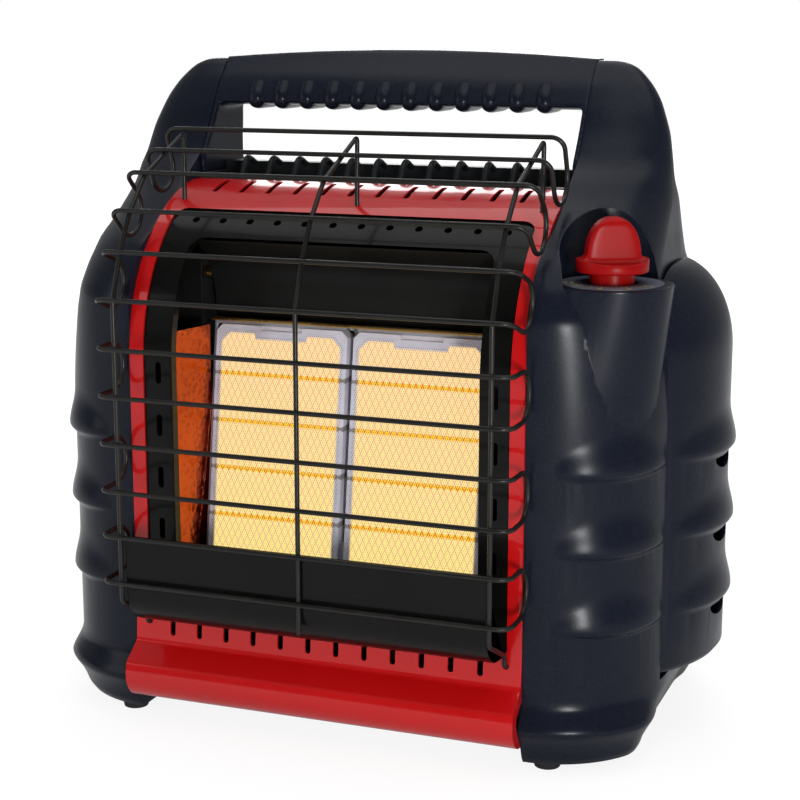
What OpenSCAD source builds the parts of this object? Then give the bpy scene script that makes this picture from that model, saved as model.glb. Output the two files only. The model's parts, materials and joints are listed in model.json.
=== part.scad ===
// Portable propane heater with two burner plaques and a bottle bay on each side.
// +Z is up and -Y is the heated front. The origin is on the floor, under the middle.
// Side pieces are drawn for the right (+X) side and mirrored for the left.

/* [Casing] */
// Width of the red front panel, between the two side housings
panel_w = 262; // [256:1:268]
// How far each side housing reaches outward from the front panel
housing_reach = 73; // [72:1:74]
// Height of the tops of the side towers
tower_h = 426; // [420:1:432]
// Wall thickness of the moulded side housings
wall = 3; // [2.6:0.2:3.4]
// Thickness of the casing's sheet metal
sheet = 1.5; // [1.2:0.1:1.8]
// Radius of the front panel's rounded shoulder
arch_r = 109; // [108:0.5:110]

/* [Burner] */
// Width of the opening in the red panel
opening_w = 243; // [239:1:245]
// Width of the black bezel's inner opening
bezel_w = 204; // [202:1:206]
// Width of one ceramic plaque
plaque_w = 92; // [90:1:93]
// Height of the ceramic plaques along their face
plaque_h = 155; // [150:1:156]
// Angle by which the plaques lean back
lean = 7.9; // [6:0.1:9]

/* [Guard] */
// Diameter of the guard's wire
wire_d = 3; // [2.6:0.2:3.4]
// Spacing of the guard's horizontal wires
wire_pitch = 30; // [29.5:0.1:30.5]
// Half of the guard's straight width
guard_half = 126; // [124:0.5:127]
// Distance from the front panel's face to the front of the guard
guard_reach = 39.5; // [39:0.5:41]

/* [Bottle bays] */
// Outer radius of each bay door
door_r = 93.2; // [92.5:0.1:93.5]
// Pitch radius of the bottle's collar thread
thread_r = 12.7; // [12.5:0.1:12.9]

/* [Knob] */
// Diameter of the knob's flange
knob_d = 43.5; // [40:0.5:46]
// Height of the knob's thumb grip above its flange
grip_h = 24; // [20:1:26]
// How far the knob is pushed in
knob_travel = 3; // [2:0.5:4]

/* [Fan] */
// Diameter of the fan
fan_d = 88; // [84:1:90]
// Number of fan blades
fan_blades = 5; // [3:1:7]

/* [Hidden] */
$fn = 64;
panel_x = panel_w / 2;          // inboard plane of the side housings
run_gap = 0.05;                 // radial clearance of pins and shafts
part_gap = 0.4;                 // clearance between pieces that move past each other
slot_pitch = 19.05;             // spacing of the panel's slots
slot_count = 12;
slot_w = 3.8;
thin = 1.2;                     // thin sheet inside the burner
screw_r = 1.5;

// ---- front panel's side profile, as [y, z] ----
arch_c = [0, 238];              // centre of the rounded shoulder
face_y = -arch_r;               // the panel's flat face
roll_r = 18;                    // rolled lip along the foot of the panel
roll_c = [face_y + 0.2, 34.5];
crease_z = 54;
flange_back = 18;               // the panel's foot reaches back this far
hearth_z = 72;                  // lower edge of the opening
arch_end = 95;                  // angles about arch_c, from +Y
opening_top = 121;
bezel_bend = 134;
bezel_top = 117;

// ---- housing ----
dome_z = 215;                   // the lobes are upright below this height
lobe_ry = 75;
housing_foot = 5;
lobe_front = face_y + 0.5;
lobe_back = 139;
ridge_zs = [91, 139.5, 188];    // heights of the scalloped ridges
ridge_rise = 4.5;
corner_n = 8;                   // straight steps in each rounded plan corner
bay_front = -48.5;              // the bay lies between these two planes
bay_back = 85;
bay_floor = 48;
bay_top = 300;
bay_in = 113;                   // inboard face of the bay's liner

// ---- knob pod, on the right housing ----
knob_xy = [170, -65];
pod_r = 37;
pod_top = 297.5;
recess_r = 33;                  // hollow in the tower round the knob
pod_foot_r = 34;
pod_foot_xy = [161, -57.7];
pod_foot_z = 205;

// ---- door ----
door_c = [134, 16];
door_t = 3;
door_edge_x = 193;              // the door's rim stands off the tower at this plane
door_bottom = 51;
door_straight = 247;            // the door domes over from here
door_top = 303;
door_dome_r = 55;
door_front = bay_front + part_gap;
hinge_xy = [202.6, 81];
hinge_r = 3.4;
hinge_pin_r = 1.5;
knuckle_h = 26;

// ---- handle ----
handle_x = panel_x;
arch_rise = 5;
leg_foot_z = 350;                // the handle's legs stand on the grille and the rear cover
// Height at a share k of the way from the legs' feet to the tops of the towers.
function grip_z(k) = leg_foot_z + k * (tower_h - leg_foot_z);
grip_gap_x = panel_x - 3.5;
grip_gap_z = grip_z(0.579);

// ---- burner, in its own leaning frame ----
burner_foot = [-80, 104];       // bottom of the plaque faces, as [y, z]
plaque_t = 13;
plaque_gap = 4;
box_depth = 45;
burner_half = plaque_w + plaque_gap / 2 + 2;
mixer_x = 48;
mixer_z = 22;
mixer_r = 11;
mixer_end = 72;
manifold_y = 84;
deck_z = 94;

// ---- gas train ----
valve_r = 13;
valve_z = [pod_top - 57.5, pod_top - 13.5];
stem_r = 3;
sleeve_r = 5;
tube_r = 4;
tube_x = 106;                   // tubes run back between the burner and the bay
tube_z = valve_z[0] + 22;
main_tube_z = valve_z[0] + 8;
pilot_tube_z = valve_z[0] + 3;
cross_y = -30;
cross_z = bay_top - 14;
trunnion_xy = [168, 16];
trunnion_z = bay_top - 14;
trunnion_r = 4;
regulator_r = 26;
ear_y = 30;                     // half the spacing of the bracket's ears
ear_t = 2;

// ---- rear ----
rear_y = 130;                   // outer face of the rear cover
rear_max = face_y * -1 + guard_reach;
fan_z = 155;
fan_c = [0, fan_z];
motor_y = [84, 104];
battery_z = [24, 90];
battery_y = 92;                 // front of the battery box
battery_x = 71;
battery_hinge = [135.4, 19];
switch_xz = [100, 250];
tip_xy = [0, 20];
pan_z = 16.5;                   // top of the base pan

// ---- guard ----
wire_r = wire_d / 2;
guard_y = face_y - guard_reach + wire_r;
loop_r = wire_pitch / 2;
bend_r = 8;
loop_depth = 20.5;
// Middle of each wire loop as [y, z, tilt], from the top down
loop_places = [[-60.5, 375.5, 66.8], [-112, 346.5, 43.5], [-141.8, 297.5, 20.1],
    [guard_y, 237.7, 0], [guard_y, 177.6, 0], [guard_y, 118.5, 0]];
leg_y = -46.5;
weld = 0.4;                     // depth of the guard's welds
hook_z = 67;
cross_x = [-121.4, 0, 121.4];

// ======== geometry helpers ========

function unit(v) = v / norm(v);
function reverse(p) = [for (i = [len(p) - 1:-1:0]) p[i]];
function polar(c, r, a) = c + r * [cos(a), sin(a)];
function arc(c, r, a0, a1, n) = [for (i = [0:n]) polar(c, r, a0 + (a1 - a0) * i / n)];
function right_normal(v) = [v[1], -v[0]];
function edge_normal(p, i) = right_normal(unit(p[i + 1] - p[i]));
function miter(p, i) =
    let (a = edge_normal(p, max(i - 1, 0)), b = edge_normal(p, min(i, len(p) - 2)), m = unit(a + b))
    m / (m * a);
function shifted(p, t) = [for (i = [0:len(p) - 1]) p[i] + t * miter(p, i)];
function band(p, t) = concat(p, reverse(shifted(p, t)));

// Extrudes a [y, z] profile along X, from x0 to x1.
module along_x(x0, x1) {
    translate([x0, 0, 0]) rotate([90, 0, 90]) linear_extrude(x1 - x0) children();
}

// Bent sheet: a strip t thick on the right of the path.
module bent_sheet(path, t, x0, x1) {
    along_x(x0, x1) polygon(band(path, t));
}

module mirror_pair() {
    children();
    mirror([1, 0, 0]) children();
}

module box(p0, p1) {
    translate(p0) cube(p1 - p0);
}

// Round bar between two points.
module bar(a, b, r) {
    d = b - a;
    translate(a) rotate([0, acos(d[2] / norm(d)), atan2(d[1], d[0])]) cylinder(h = norm(d), r = r);
}

// Tube along a route, with a rounded fitting at each inner corner.
module tube(route, r) {
    for (i = [0:len(route) - 2]) bar(route[i], route[i + 1], r);
    for (i = [1:1:len(route) - 2]) translate(route[i]) sphere(r * 1.2);
}

// Cylinder whose axis runs along +Y from y0 to y1 at [x, z].
module along_y(x, z, y0, y1, r) {
    translate([x, y0, z]) rotate([-90, 0, 0]) cylinder(h = y1 - y0, r = r);
}

module x_bar(x0, x1, y, z, r) {
    translate([x0, y, z]) rotate([0, 90, 0]) cylinder(h = x1 - x0, r = r);
}

// ======== front casing ========

// The front panel's side outline: below the opening, beside it, and over the shoulder.
function panel_foot() = concat([[roll_c[0] + flange_back, roll_c[1] - roll_r]],
    arc(roll_c, roll_r, 270, 150, 10),
    [[face_y - 1.5, crease_z], [face_y, crease_z + 3], [face_y, hearth_z]]);
function panel_shoulder() = arc(arch_c, arch_r, opening_top, arch_end, 6);
function panel_path() = concat(panel_foot(), arc(arch_c, arch_r, 180, opening_top + 5, 10), panel_shoulder());

// Rounded upright slot through the panel's face.
module face_slot(x, z, w, h) {
    y0 = face_y - 5;
    y1 = face_y + 5;
    box([x - w / 2, y0, z - h / 2 + w / 2], [x + w / 2, y1, z + h / 2 - w / 2]);
    for (s = [-1, 1]) along_y(x, z + s * (h - w) / 2, y0, y1, w / 2);
}

function slot_x(i) = slot_pitch * (i - (slot_count - 1) / 2);

module panel_slots() {
    for (i = [0:slot_count - 1]) face_slot(slot_x(i), 64.2, slot_w, 10.5);
}

module top_slots() {
    for (i = [0:slot_count - 1]) box([slot_x(i) - slot_w / 2, -37, 330], [slot_x(i) + slot_w / 2, -14, 360]);
}

module front_panel() {
    side_flange = 8;
    color("firebrick") difference() {
        union() {
            difference() {
                bent_sheet(panel_foot(), sheet, -opening_w / 2, opening_w / 2);
                panel_slots();
            }
            difference() {
                bent_sheet(panel_shoulder(), sheet, -opening_w / 2, opening_w / 2);
                top_slots();
            }
            mirror_pair() {
                bent_sheet(panel_path(), sheet, opening_w / 2, panel_x - sheet);
                difference() {
                    bent_sheet(panel_path(), side_flange, panel_x - sheet, panel_x);
                    panel_screw_holes();
                }
            }
        }
        for (x = cross_x) translate([x, leg_y, 300]) cylinder(h = 60, r = wire_r + run_gap);
        for (s = [-1, 1]) along_y(s * cross_x[2], hook_z, face_y - 5, face_y + 5, wire_r + run_gap);
    }
}

bezel_r = arch_r - sheet - 0.2;
function bezel_strip() = arc(arch_c, bezel_r, bezel_bend, bezel_top, 4);
function bezel_path(foot_z) = concat([[-bezel_r, foot_z]],
    arc(arch_c, bezel_r, 180, bezel_bend + 5, 8), bezel_strip());

module burner_bezel() {
    lip = 12;
    lip_foot = deck_z + 12;
    bezel_foot = hearth_z + 1.5;
    slot_zs = [130:34:232];
    half = bezel_w / 2;
    color("black") {
        difference() {
            bent_sheet(bezel_strip(), thin, -half, half);
            bezel_holes();
        }
        mirror_pair() {
            difference() {
                bent_sheet(bezel_path(bezel_foot), thin, half + thin, panel_x - 4);
                for (z = slot_zs) face_slot((opening_w + bezel_w) / 4, z, 4, 14);
            }
            bent_sheet(bezel_path(lip_foot), lip, half, half + thin);
            bent_sheet([[-bezel_r, bezel_foot], [-bezel_r, lip_foot]], thin, half, half + thin);
        }
        along_x(-half, half) polygon([for (q = [[0, bezel_bend], [0, bezel_bend - 0.7], [lip, bezel_bend - 0.7],
            [lip, bezel_bend]]) polar(arch_c, bezel_r - q[0], q[1])]);
    }
}

// Round holes in the slanted top strip.
module bezel_holes() {
    hole_r = 2.5;
    hole_angle = 126;
    for (i = [0:slot_count - 1]) translate([slot_x(i), arch_c[0], arch_c[1]]) rotate([hole_angle - 90, 0, 0])
        translate([0, 0, arch_r - 8]) cylinder(h = 16, r = hole_r);
}

// Black plate across the foot of the opening: it stands in the guard's plane and curls back under.
module hearth_plate() {
    front = guard_y + 3 * wire_r - weld + 0.1;
    top = 134;
    tuck = 9;
    path = concat([[face_y + sheet, hearth_z - tuck], [face_y + sheet, hearth_z],
        [face_y - 4, hearth_z + 0.5]],
        arc([front + 26, hearth_z + 27], 26, 258, 180, 6), [[front, top]]);
    color("black") difference() {
        union() {
            bent_sheet([path[0], path[1]], thin, -110, 110);
            bent_sheet([for (i = [1:len(path) - 1]) path[i]], thin, -119, 119);
        }
        panel_slots();
    }
}

// ======== burner ========

// Places children in the burner's frame: x across, y back, z up along the leaning face.
module leaning() {
    translate([0, burner_foot[0], burner_foot[1]]) rotate([-lean, 0, 0]) children();
}

function leaned(p) = burner_foot + [p[0] * cos(lean) + p[1] * sin(lean), p[1] * cos(lean) - p[0] * sin(lean)];

module plaque() {
    corner = 6;
    color("bisque") leaning() translate([plaque_gap / 2, 0, 0]) difference() {
        cube([plaque_w, plaque_t, plaque_h]);
        translate([plaque_w / 2 - 14, -1, plaque_h - 3]) cube([28, 3, 4]);
        for (x = [0, plaque_w]) translate([x, -1, plaque_h]) rotate([0, 45, 0])
            translate([-corner / 2, 0, -corner / 2]) cube([corner, plaque_t + 2, corner]);
    }
}

module left_plaque() {
    mirror([1, 0, 0]) plaque();
}

module right_plaque() {
    plaque();
}

// Sheet frame that closes the gaps around the plaques and carries them on the box.
module burner_frame() {
    rim = 2;
    color("dimgray") leaning() difference() {
        box([-burner_half, 2, -4], [burner_half, 2 + plaque_t, plaque_h + rim]);
        box([-burner_half + 2, 1, 0], [-plaque_gap / 2, 3 + plaque_t, plaque_h]);
        box([plaque_gap / 2, 1, 0], [burner_half - 2, 3 + plaque_t, plaque_h]);
        box([-plaque_gap, 1, 20], [plaque_gap, 3 + plaque_t - 4, plaque_h + 5]);
    }
}

// Pressed steel plenum behind the plaques, with one mixing tube for each.
module burner_box() {
    y0 = 2 + plaque_t;
    color("slategray") leaning() difference() {
        union() {
            box([-burner_half, y0, -3], [burner_half, box_depth, plaque_h + 1]);
            for (s = [-1, 1]) along_y(s * mixer_x, mixer_z, box_depth - 1, mixer_end, mixer_r);
        }
        box([-burner_half + thin, y0 - 1, -3 + thin], [-thin / 2, box_depth - thin, plaque_h + 1 - thin]);
        box([thin / 2, y0 - 1, -3 + thin], [burner_half - thin, box_depth - thin, plaque_h + 1 - thin]);
        for (s = [-1, 1]) along_y(s * mixer_x, mixer_z, box_depth - 5, mixer_end + 1, mixer_r - thin);
    }
}

// Two feet that hold the leaning burner on the deck.
module burner_brackets() {
    p0 = leaned([2 + plaque_t, -3]);
    p1 = leaned([box_depth, -3]);
    color("gray") mirror_pair() along_x(burner_half - 16, burner_half - 2)
        polygon([[p0[0], deck_z], p0, p1, [p1[0], deck_z]]);
}

module burner_deck() {
    liner_y = bay_front + 7;
    inner = bay_in - 1;
    back = -12;
    front = thin - bezel_r;
    flange = 14;
    color("gray") difference() {
        union() {
            box([-panel_x, front, deck_z - sheet], [panel_x, liner_y - 1, deck_z]);
            box([-inner, liner_y - 2, deck_z - sheet], [inner, back, deck_z]);
            mirror_pair() box([panel_x - sheet, front + 11, deck_z - sheet], [panel_x, liner_y - 1, deck_z + flange]);
        }
        box([-panel_x - 1, front - 1, deck_z - 5], [-panel_x + 2, front + 11, deck_z + 5]);
        box([panel_x - 2, front - 1, deck_z - 5], [panel_x + 1, front + 11, deck_z + 5]);
    }
}

// Hammered sheet beside the burner.
module reflector_side() {
    top = leaned([0, plaque_h]);
    front = face_y + sheet + 10.5;
    front_x = bezel_w / 2 + thin + 3 * part_gap;
    color("chocolate") translate([0, 0, deck_z]) linear_extrude(top[1] - deck_z)
        polygon([[front_x + 1, front], [burner_half + 1, burner_foot[0] + 16],
            [burner_half, burner_foot[0] + 16], [front_x, front]]);
}

module left_reflector() {
    mirror([1, 0, 0]) reflector_side();
}

module right_reflector() {
    reflector_side();
}

// Black hood above the plaques, curling forward to the bezel's upper lip.
module reflector_hood() {
    back = 2 + plaque_t + 0.2;
    top = plaque_h + 1.1;
    lip = polar(arch_c, bezel_r - 11, bezel_bend - 0.7);
    bend = leaned([back - 2, top + 18]);
    path = [leaned([back + 18, top]), leaned([back, top]), bend, (bend + lip) / 2 + [3, 5], lip];
    color("black") bent_sheet(path, thin, -bezel_w / 2, bezel_w / 2);
}

module trim_strip() {
    z0 = plaque_h + 2;
    color("goldenrod") leaning() box([-burner_half, -5, z0], [burner_half, 1 + plaque_t, z0 + 2]);
}

// ======== gas train ========

module gas_manifold() {
    end = tube_x;
    color("silver") leaning() difference() {
        union() {
            x_bar(-mixer_x - 8, end, manifold_y, mixer_z, 5);
            for (s = [-1, 1]) translate([s * mixer_x, manifold_y, mixer_z]) rotate([90, 0, 0]) cylinder(h = 7, r = 5);
        }
        for (s = [-1, 1]) translate([s * mixer_x, manifold_y, mixer_z]) rotate([90, 0, 0]) cylinder(h = 8, r = 3);
    }
}

module gas_orifices() {
    color("goldenrod") leaning() for (s = [-1, 1]) translate([s * mixer_x, manifold_y, mixer_z]) rotate([90, 0, 0]) {
        translate([0, 0, 3]) cylinder(h = 8, r = 3);
        translate([0, 0, 7]) cylinder(h = 5, r = 4.2, $fn = 6);
    }
}

manifold_end = leaned([manifold_y, mixer_z]);

module main_gas_tube() {
    x = tube_x + 2.5;
    color("silver") tube([[knob_xy[0] - valve_r + 0.5, knob_xy[1], main_tube_z], [x, knob_xy[1], main_tube_z],
        [x, manifold_end[0], manifold_end[1]]], tube_r - 0.5);
}

module left_supply_tube() {
    y0 = trunnion_xy[1] - ear_y - ear_t;
    color("goldenrod") {
        tube([[-trunnion_xy[0], y0, trunnion_z], [-trunnion_xy[0], cross_y, cross_z],
            [tube_x, cross_y, cross_z], [tube_x, knob_xy[1], cross_z], [tube_x, knob_xy[1], tube_z],
            [knob_xy[0] - valve_r + 0.5, knob_xy[1], tube_z]], tube_r);
        along_y(-trunnion_xy[0], trunnion_z, y0 - 3, y0, tube_r + 2);
    }
}

module right_supply_tube() {
    y0 = trunnion_xy[1] - ear_y - ear_t;
    color("goldenrod") {
        tube([[trunnion_xy[0], y0, trunnion_z], [trunnion_xy[0], cross_y, trunnion_z],
            [trunnion_xy[0], cross_y, tube_z], [trunnion_xy[0], knob_xy[1] + valve_r - 0.5, tube_z]], tube_r);
        along_y(trunnion_xy[0], trunnion_z, y0 - 3, y0, tube_r + 2);
    }
}

module gas_valve() {
    neck_r = 9;
    color("silver") translate([knob_xy[0], knob_xy[1], 0]) difference() {
        union() {
            translate([0, 0, valve_z[0]]) cylinder(h = valve_z[1] - valve_z[0], r = valve_r);
            translate([0, 0, valve_z[1]]) cylinder(h = pod_top - wall - valve_z[1], r = neck_r);
        }
        translate([0, 0, valve_z[0] + 12]) cylinder(h = 100, r = sleeve_r + run_gap);
    }
}

// Spring-loaded sleeve that slides down when the knob is pushed; the stem turns inside it.
module valve_sleeve() {
    z0 = valve_z[0] + 12 + knob_travel + 1;
    color("goldenrod") translate([knob_xy[0], knob_xy[1], z0]) difference() {
        cylinder(h = pod_top + 3 - z0, r = sleeve_r);
        translate([0, 0, -1]) cylinder(h = 100, r = stem_r + run_gap);
    }
}

module valve_stem() {
    z0 = valve_z[0] + 12 + knob_travel + 1;
    color("silver") translate([knob_xy[0], knob_xy[1], z0]) cylinder(h = pod_top + 24 - z0, r = stem_r);
}

module control_knob() {
    skirt_r = 13;
    skirt_h = 8;
    flange_h = 8;
    grip_w = 15;
    grip_r = 16;
    z0 = pod_top + 3.2;
    color("red") translate([knob_xy[0], knob_xy[1], z0]) difference() {
        union() {
            cylinder(h = skirt_h, r = skirt_r);
            translate([0, 0, skirt_h - 3.2]) {
                cylinder(h = flange_h, r = knob_d / 2);
                translate([0, 0, flange_h]) intersection() {
                    rotate_extrude() intersection() {
                        translate([0, grip_h - grip_r]) circle(grip_r);
                        square([grip_r, grip_h]);
                    }
                    translate([-grip_r, -grip_w / 2, 0]) cube([2 * grip_r, grip_w, grip_h]);
                }
                cylinder(h = flange_h + 2, r1 = knob_d / 2, r2 = 14);
            }
        }
        translate([0, 0, -1]) cylinder(h = pod_top + 24 - z0 + 1, r = stem_r);
    }
}

module dial_plate() {
    color("black") translate([knob_xy[0], knob_xy[1], pod_top]) difference() {
        cylinder(h = 0.8, r = 31);
        translate([0, 0, -1]) cylinder(h = 3, r = 15);
    }
}

module piezo_igniter() {
    x = panel_x + wall;
    color("ivory") {
        translate([x + 7, knob_xy[1] - 14, 200]) cylinder(h = 46, r = 6);
        box([x, knob_xy[1] - 18, 216], [x + 3, knob_xy[1] - 10, 228]);
    }
}

module pilot_bracket() {
    y0 = burner_foot[0] - 14;
    color("silver") {
        box([20, y0 - 8, deck_z], [60, y0 + 10, deck_z + 1.5]);
        difference() {
            box([20, y0 + 4, deck_z + 1.5], [60, y0 + 5.5, deck_z + 18]);
            for (x = [26, 40, 54]) along_y(x, deck_z + 11, y0, y0 + 8, 2);
        }
    }
}

module pilot_burner() {
    y0 = burner_foot[0] - 14;
    z0 = deck_z + 11;
    color("goldenrod") {
        along_y(40, z0, y0 - 6, y0 + 9, 2);
        along_y(40, z0, y0 - 6, y0 + 4, 4);
        tube([[40, y0 - 4, z0], [40, y0 - 8, z0 - 6], [tube_x + 12, y0 - 8, z0 - 6],
            [tube_x + 12, knob_xy[1] - 8, pilot_tube_z],
            [knob_xy[0] - valve_r + 3, knob_xy[1] - 4, pilot_tube_z]], 1.6);
    }
}

module ignition_electrode() {
    y0 = burner_foot[0] - 14;
    color("ivory") along_y(26, deck_z + 11, y0 - 8, y0 + 4, 3);
    color("silver") along_y(26, deck_z + 11, y0 - 12, y0 + 10, 2);
}

module thermocouple() {
    y0 = burner_foot[0] - 14;
    color("peru") {
        along_y(54, deck_z + 11, y0 - 14, y0 + 12, 2);
        along_y(54, deck_z + 11, y0 - 6, y0 + 4, 3.2);
    }
}

// ======== wire guard ========

// One closed loop: two long wires joined by a backward U at each end.
module guard_loop() {
    x_bar(-guard_half, guard_half, 0, loop_r, wire_r);
    x_bar(-guard_half, guard_half, 0, -loop_r, wire_r);
    mirror_pair() for (s = [-1, 1]) translate([guard_half, bend_r, s * loop_r]) {
        rotate([0, 0, -90]) rotate_extrude(angle = 90) translate([bend_r, 0]) circle(wire_r, $fn = 24);
        translate([bend_r, 0, 0]) rotate([-90, 0, 0]) cylinder(h = loop_depth - bend_r, r = wire_r);
    }
    mirror_pair() translate([guard_half + bend_r, loop_depth, 0]) rotate([90, 0, 90])
        rotate([0, 0, -90]) rotate_extrude(angle = 180) translate([loop_r, 0]) circle(wire_r, $fn = 24);
}

function loop_point(g, s) = [g[0] + s * sin(g[2]) * loop_r, g[1] + s * cos(g[2]) * loop_r];

// Points where an upright wire crosses behind the loops and is welded to them, from the foot up.
function cross_path() = [for (i = [len(loop_places) - 1:-1:0], s = [-1, 1])
    loop_point(loop_places[i], s) + (2 * wire_r - weld) * [cos(loop_places[i][2]), -sin(loop_places[i][2])]];

module guard_upright(x, hooked) {
    p = cross_path();
    leg_foot = arch_c[1] + sqrt(arch_r * arch_r - leg_y * leg_y) - 4;
    out_y = face_y - 3.5;
    hook = [[face_y + 4, hook_z], [out_y, hook_z], [out_y, hook_z + 8], [p[0][0], hook_z + 24]];
    bent_wire(x, concat(hooked ? hook : [[p[0][0], hook_z + 17]], [for (i = [6, 7, 8, 9, 11]) p[i]],
        [[leg_y, leg_foot]]));
}

// Softens each inner corner of a route with a curve that starts s before it and ends s after it.
function softened(p, s) = concat([p[0]],
    [for (i = [1:len(p) - 2]) let (a = p[i] - s * unit(p[i] - p[i - 1]), b = p[i] + s * unit(p[i + 1] - p[i]))
        for (t = [0:0.25:1]) (1 - t) * (1 - t) * a + 2 * t * (1 - t) * p[i] + t * t * b], [p[len(p) - 1]]);

// Wire bent in the upright plane at x, swept along a [y, z] route.
module bent_wire(x, route) {
    p = softened(route, wire_d);
    ring_stack([for (i = [0:len(p) - 1]) [for (a = [0:30:330]) let (q = p[i] + wire_r * cos(a) * miter(p, i))
        [x + wire_r * sin(a), q[0], q[1]]]]);
}

module guard_loops() {
    color("darkslategray") for (g = loop_places) translate([0, g[0], g[1]]) rotate([-g[2], 0, 0]) guard_loop();
}

module guard_uprights() {
    color("darkslategray") for (x = cross_x) guard_upright(x, x != 0);
}

// ======== side housings ========

// The skirt swells under the lobes and tucks in under the outer side.
function skirt_front(z) = lookup(z, [[5, -5], [8, -2], [14, 0], [20, 3], [28, 8.5], [32, 7], [41, 1], [46, 0]]);
function skirt_side(z) = lookup(z, [[5, -16], [14, -13], [20, -9], [28, -5], [34, -3], [41, 0]]);
function ease(t) = let (u = min(max(t, 0), 1)) u * u * (3 - 2 * u);
// t is the direction round the lobe: 0 along Y, 90 straight out to the side.
function flare(z, t) = let (u = ease((t - 55) / 35)) skirt_front(z) * (1 - u) + skirt_side(z) * u;

// How far the tower draws in from the full reach.
function draw_in(z) = lookup(z, [[dome_z, 0], [235, 1.5], [260, 4.5], [280, 8.5], [300, 13], [320, 15.5],
    [340, 16.5], [360, 19], [380, 22.5], [tower_h - 26, 30], [tower_h - 16, 36.5], [tower_h - 6, 46.5],
    [tower_h - 2, 55], [tower_h, 65]]);
function reach(z) = housing_reach - draw_in(z);
function front_y(z) = lookup(z, [[280, lobe_front], [296, -101], [311, -87.6], [320, -71.5], [332, -50.3],
    [343, -30.9], [354, -17.9], [362, -4.4], [381, 9.2], [394, 16.6], [411, 27.4], [tower_h - 2, 39.8], [tower_h, 46]]);
function back_y(z) = lookup(z, [[280, lobe_back], [300, 129], [320, 113], [340, 95], [360, 85], [380, 73],
    [tower_h - 26, 66], [tower_h - 16, 63], [tower_h - 6, 60], [tower_h, 56]]);
function front_round(z) = lookup(z, [[300, lobe_ry], [320, 72], [340, 56], [362, 30], [380, 22],
    [tower_h - 26, 17], [tower_h - 16, 14], [tower_h - 6, 8], [tower_h, 4]]);
function back_round(z) = lookup(z, [[280, lobe_ry], [300, 100], [320, 85], [340, 68], [360, 55], [380, 40],
    [tower_h - 26, 27], [tower_h - 16, 21], [tower_h - 6, 14], [tower_h, 4]]);

// Swelling of the ridges: fades upward, cut in sharply below, lens-shaped across the lobe.
function ridge_fade(dz) = lookup(dz, [[-6, 0], [-1, 0.85], [0, 1], [10, 0.62], [27, 0]]);
function ridge_span(t) = max(0, 1 - pow((t - 47) / 33, 2));
function ridge_at(z, t) = ridge_rise * max([for (r = ridge_zs) ridge_fade(z - r)]) * ridge_span(t);

// Plan outline at height z, drawn in by d.
function housing_ring(z, d, ridged) =
    let (zs = z > dome_z ? z + d : z, a = reach(zs) - d, step = 90 / corner_n,
        y0 = front_y(zs) + d, ry = front_round(zs) - d, y1 = back_y(zs) - d, rb = back_round(zs) - d)
    concat(
        [for (t = [0:step:90]) let (k = flare(zs, t) + (ridged ? ridge_at(z, t) : 0))
            [max(panel_x + (a + k) * sin(t), panel_x + d), y0 + ry - (ry + k) * cos(t), z]],
        [for (t = [90:-step:0]) let (k = flare(zs, t))
            [max(panel_x + (a + k) * sin(t), panel_x + d), y1 - rb + (rb + k) * cos(t), z]]);

// Solid through a stack of rings that all have the same number of points.
module ring_stack(rings) {
    k = len(rings[0]);
    m = len(rings);
    points = [for (r = rings) for (p = r) p];
    sides = [for (j = [0:m - 2]) for (i = [0:k - 1]) let (a = j * k + i, b = j * k + (i + 1) % k)
        each [[a, a + k, b + k], [a, b + k, b]]];
    ends = [[for (i = [0:k - 1]) i], [for (i = [k - 1:-1:0]) (m - 1) * k + i]];
    polyhedron(points, concat(sides, ends));
}

ridge_levels = [for (r = ridge_zs) each [r - 6, r - 1, r, r + 10, r + 27]];
dome_levels = [dome_z, 235, 260, 280, 290, 300, 311, 320, 332, 343, 354, 362, 381, tower_h - 32, tower_h - 24];
crown_levels = [tower_h - 16, tower_h - 10, tower_h - 6, tower_h - 2, tower_h - 0.3];
skirt_levels = [housing_foot, 8, 14, 20, 28, 34, 41, 46];

module housing_outer() {
    ring_stack([for (z = concat(skirt_levels, ridge_levels, dome_levels, crown_levels))
        housing_ring(z, 0, true)]);
}

module housing_inner() {
    top = tower_h - 3 * wall;
    ring_stack([for (z = concat([housing_foot + wall, 14, 20, 28, 34, 46], dome_levels, [top]))
        housing_ring(z, wall, false)]);
}

// Bay cavity's end walls, floor and ceiling, kept inside the shell.
module bay_walls() {
    inner = panel_x + 1;
    intersection() {
        housing_outer();
        union() {
            box([inner, bay_front, 6], [220, bay_front + wall, bay_top]);
            box([inner, bay_back, 6], [220, bay_back + wall, bay_top]);
            box([inner, bay_front, bay_floor - wall], [220, bay_back + wall, bay_floor]);
            box([inner, bay_front, bay_top], [220, bay_back + wall, bay_top + wall]);
        }
    }
}

module bay_openings() {
    out = 240;
    box([panel_x - 5, bay_front + 9, bay_floor], [panel_x + wall + 1, bay_back - 12, bay_top - 3]);
    box([panel_x + wall + 20, bay_front, bay_floor], [out, bay_back, 277]);
    box([panel_x + wall + 20, bay_front + 18, bay_floor], [out, bay_back - 23, 294]);
    intersection() {
        translate([door_c[0], door_c[1], 0]) rotate([0, 0, -60]) rotate_extrude(angle = 120, $fn = 120)
            polygon(concat(door_profile(-part_gap), [[30, door_top], [30, door_bottom]]));
        box([door_edge_x - part_gap, bay_front, bay_floor], [out, bay_back, door_top + 5]);
    }
}

module screw_tab(z) {
    box([panel_x - 10, rear_y - sheet - 12, z - 6], [panel_x, rear_y - sheet, z + 6]);
}

tab_zs = [40, 170, 270];

module tab_holes() {
    for (z = tab_zs) along_y(panel_x - 5, z, rear_y - 16, rear_y + 1, screw_r + run_gap);
}

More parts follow.
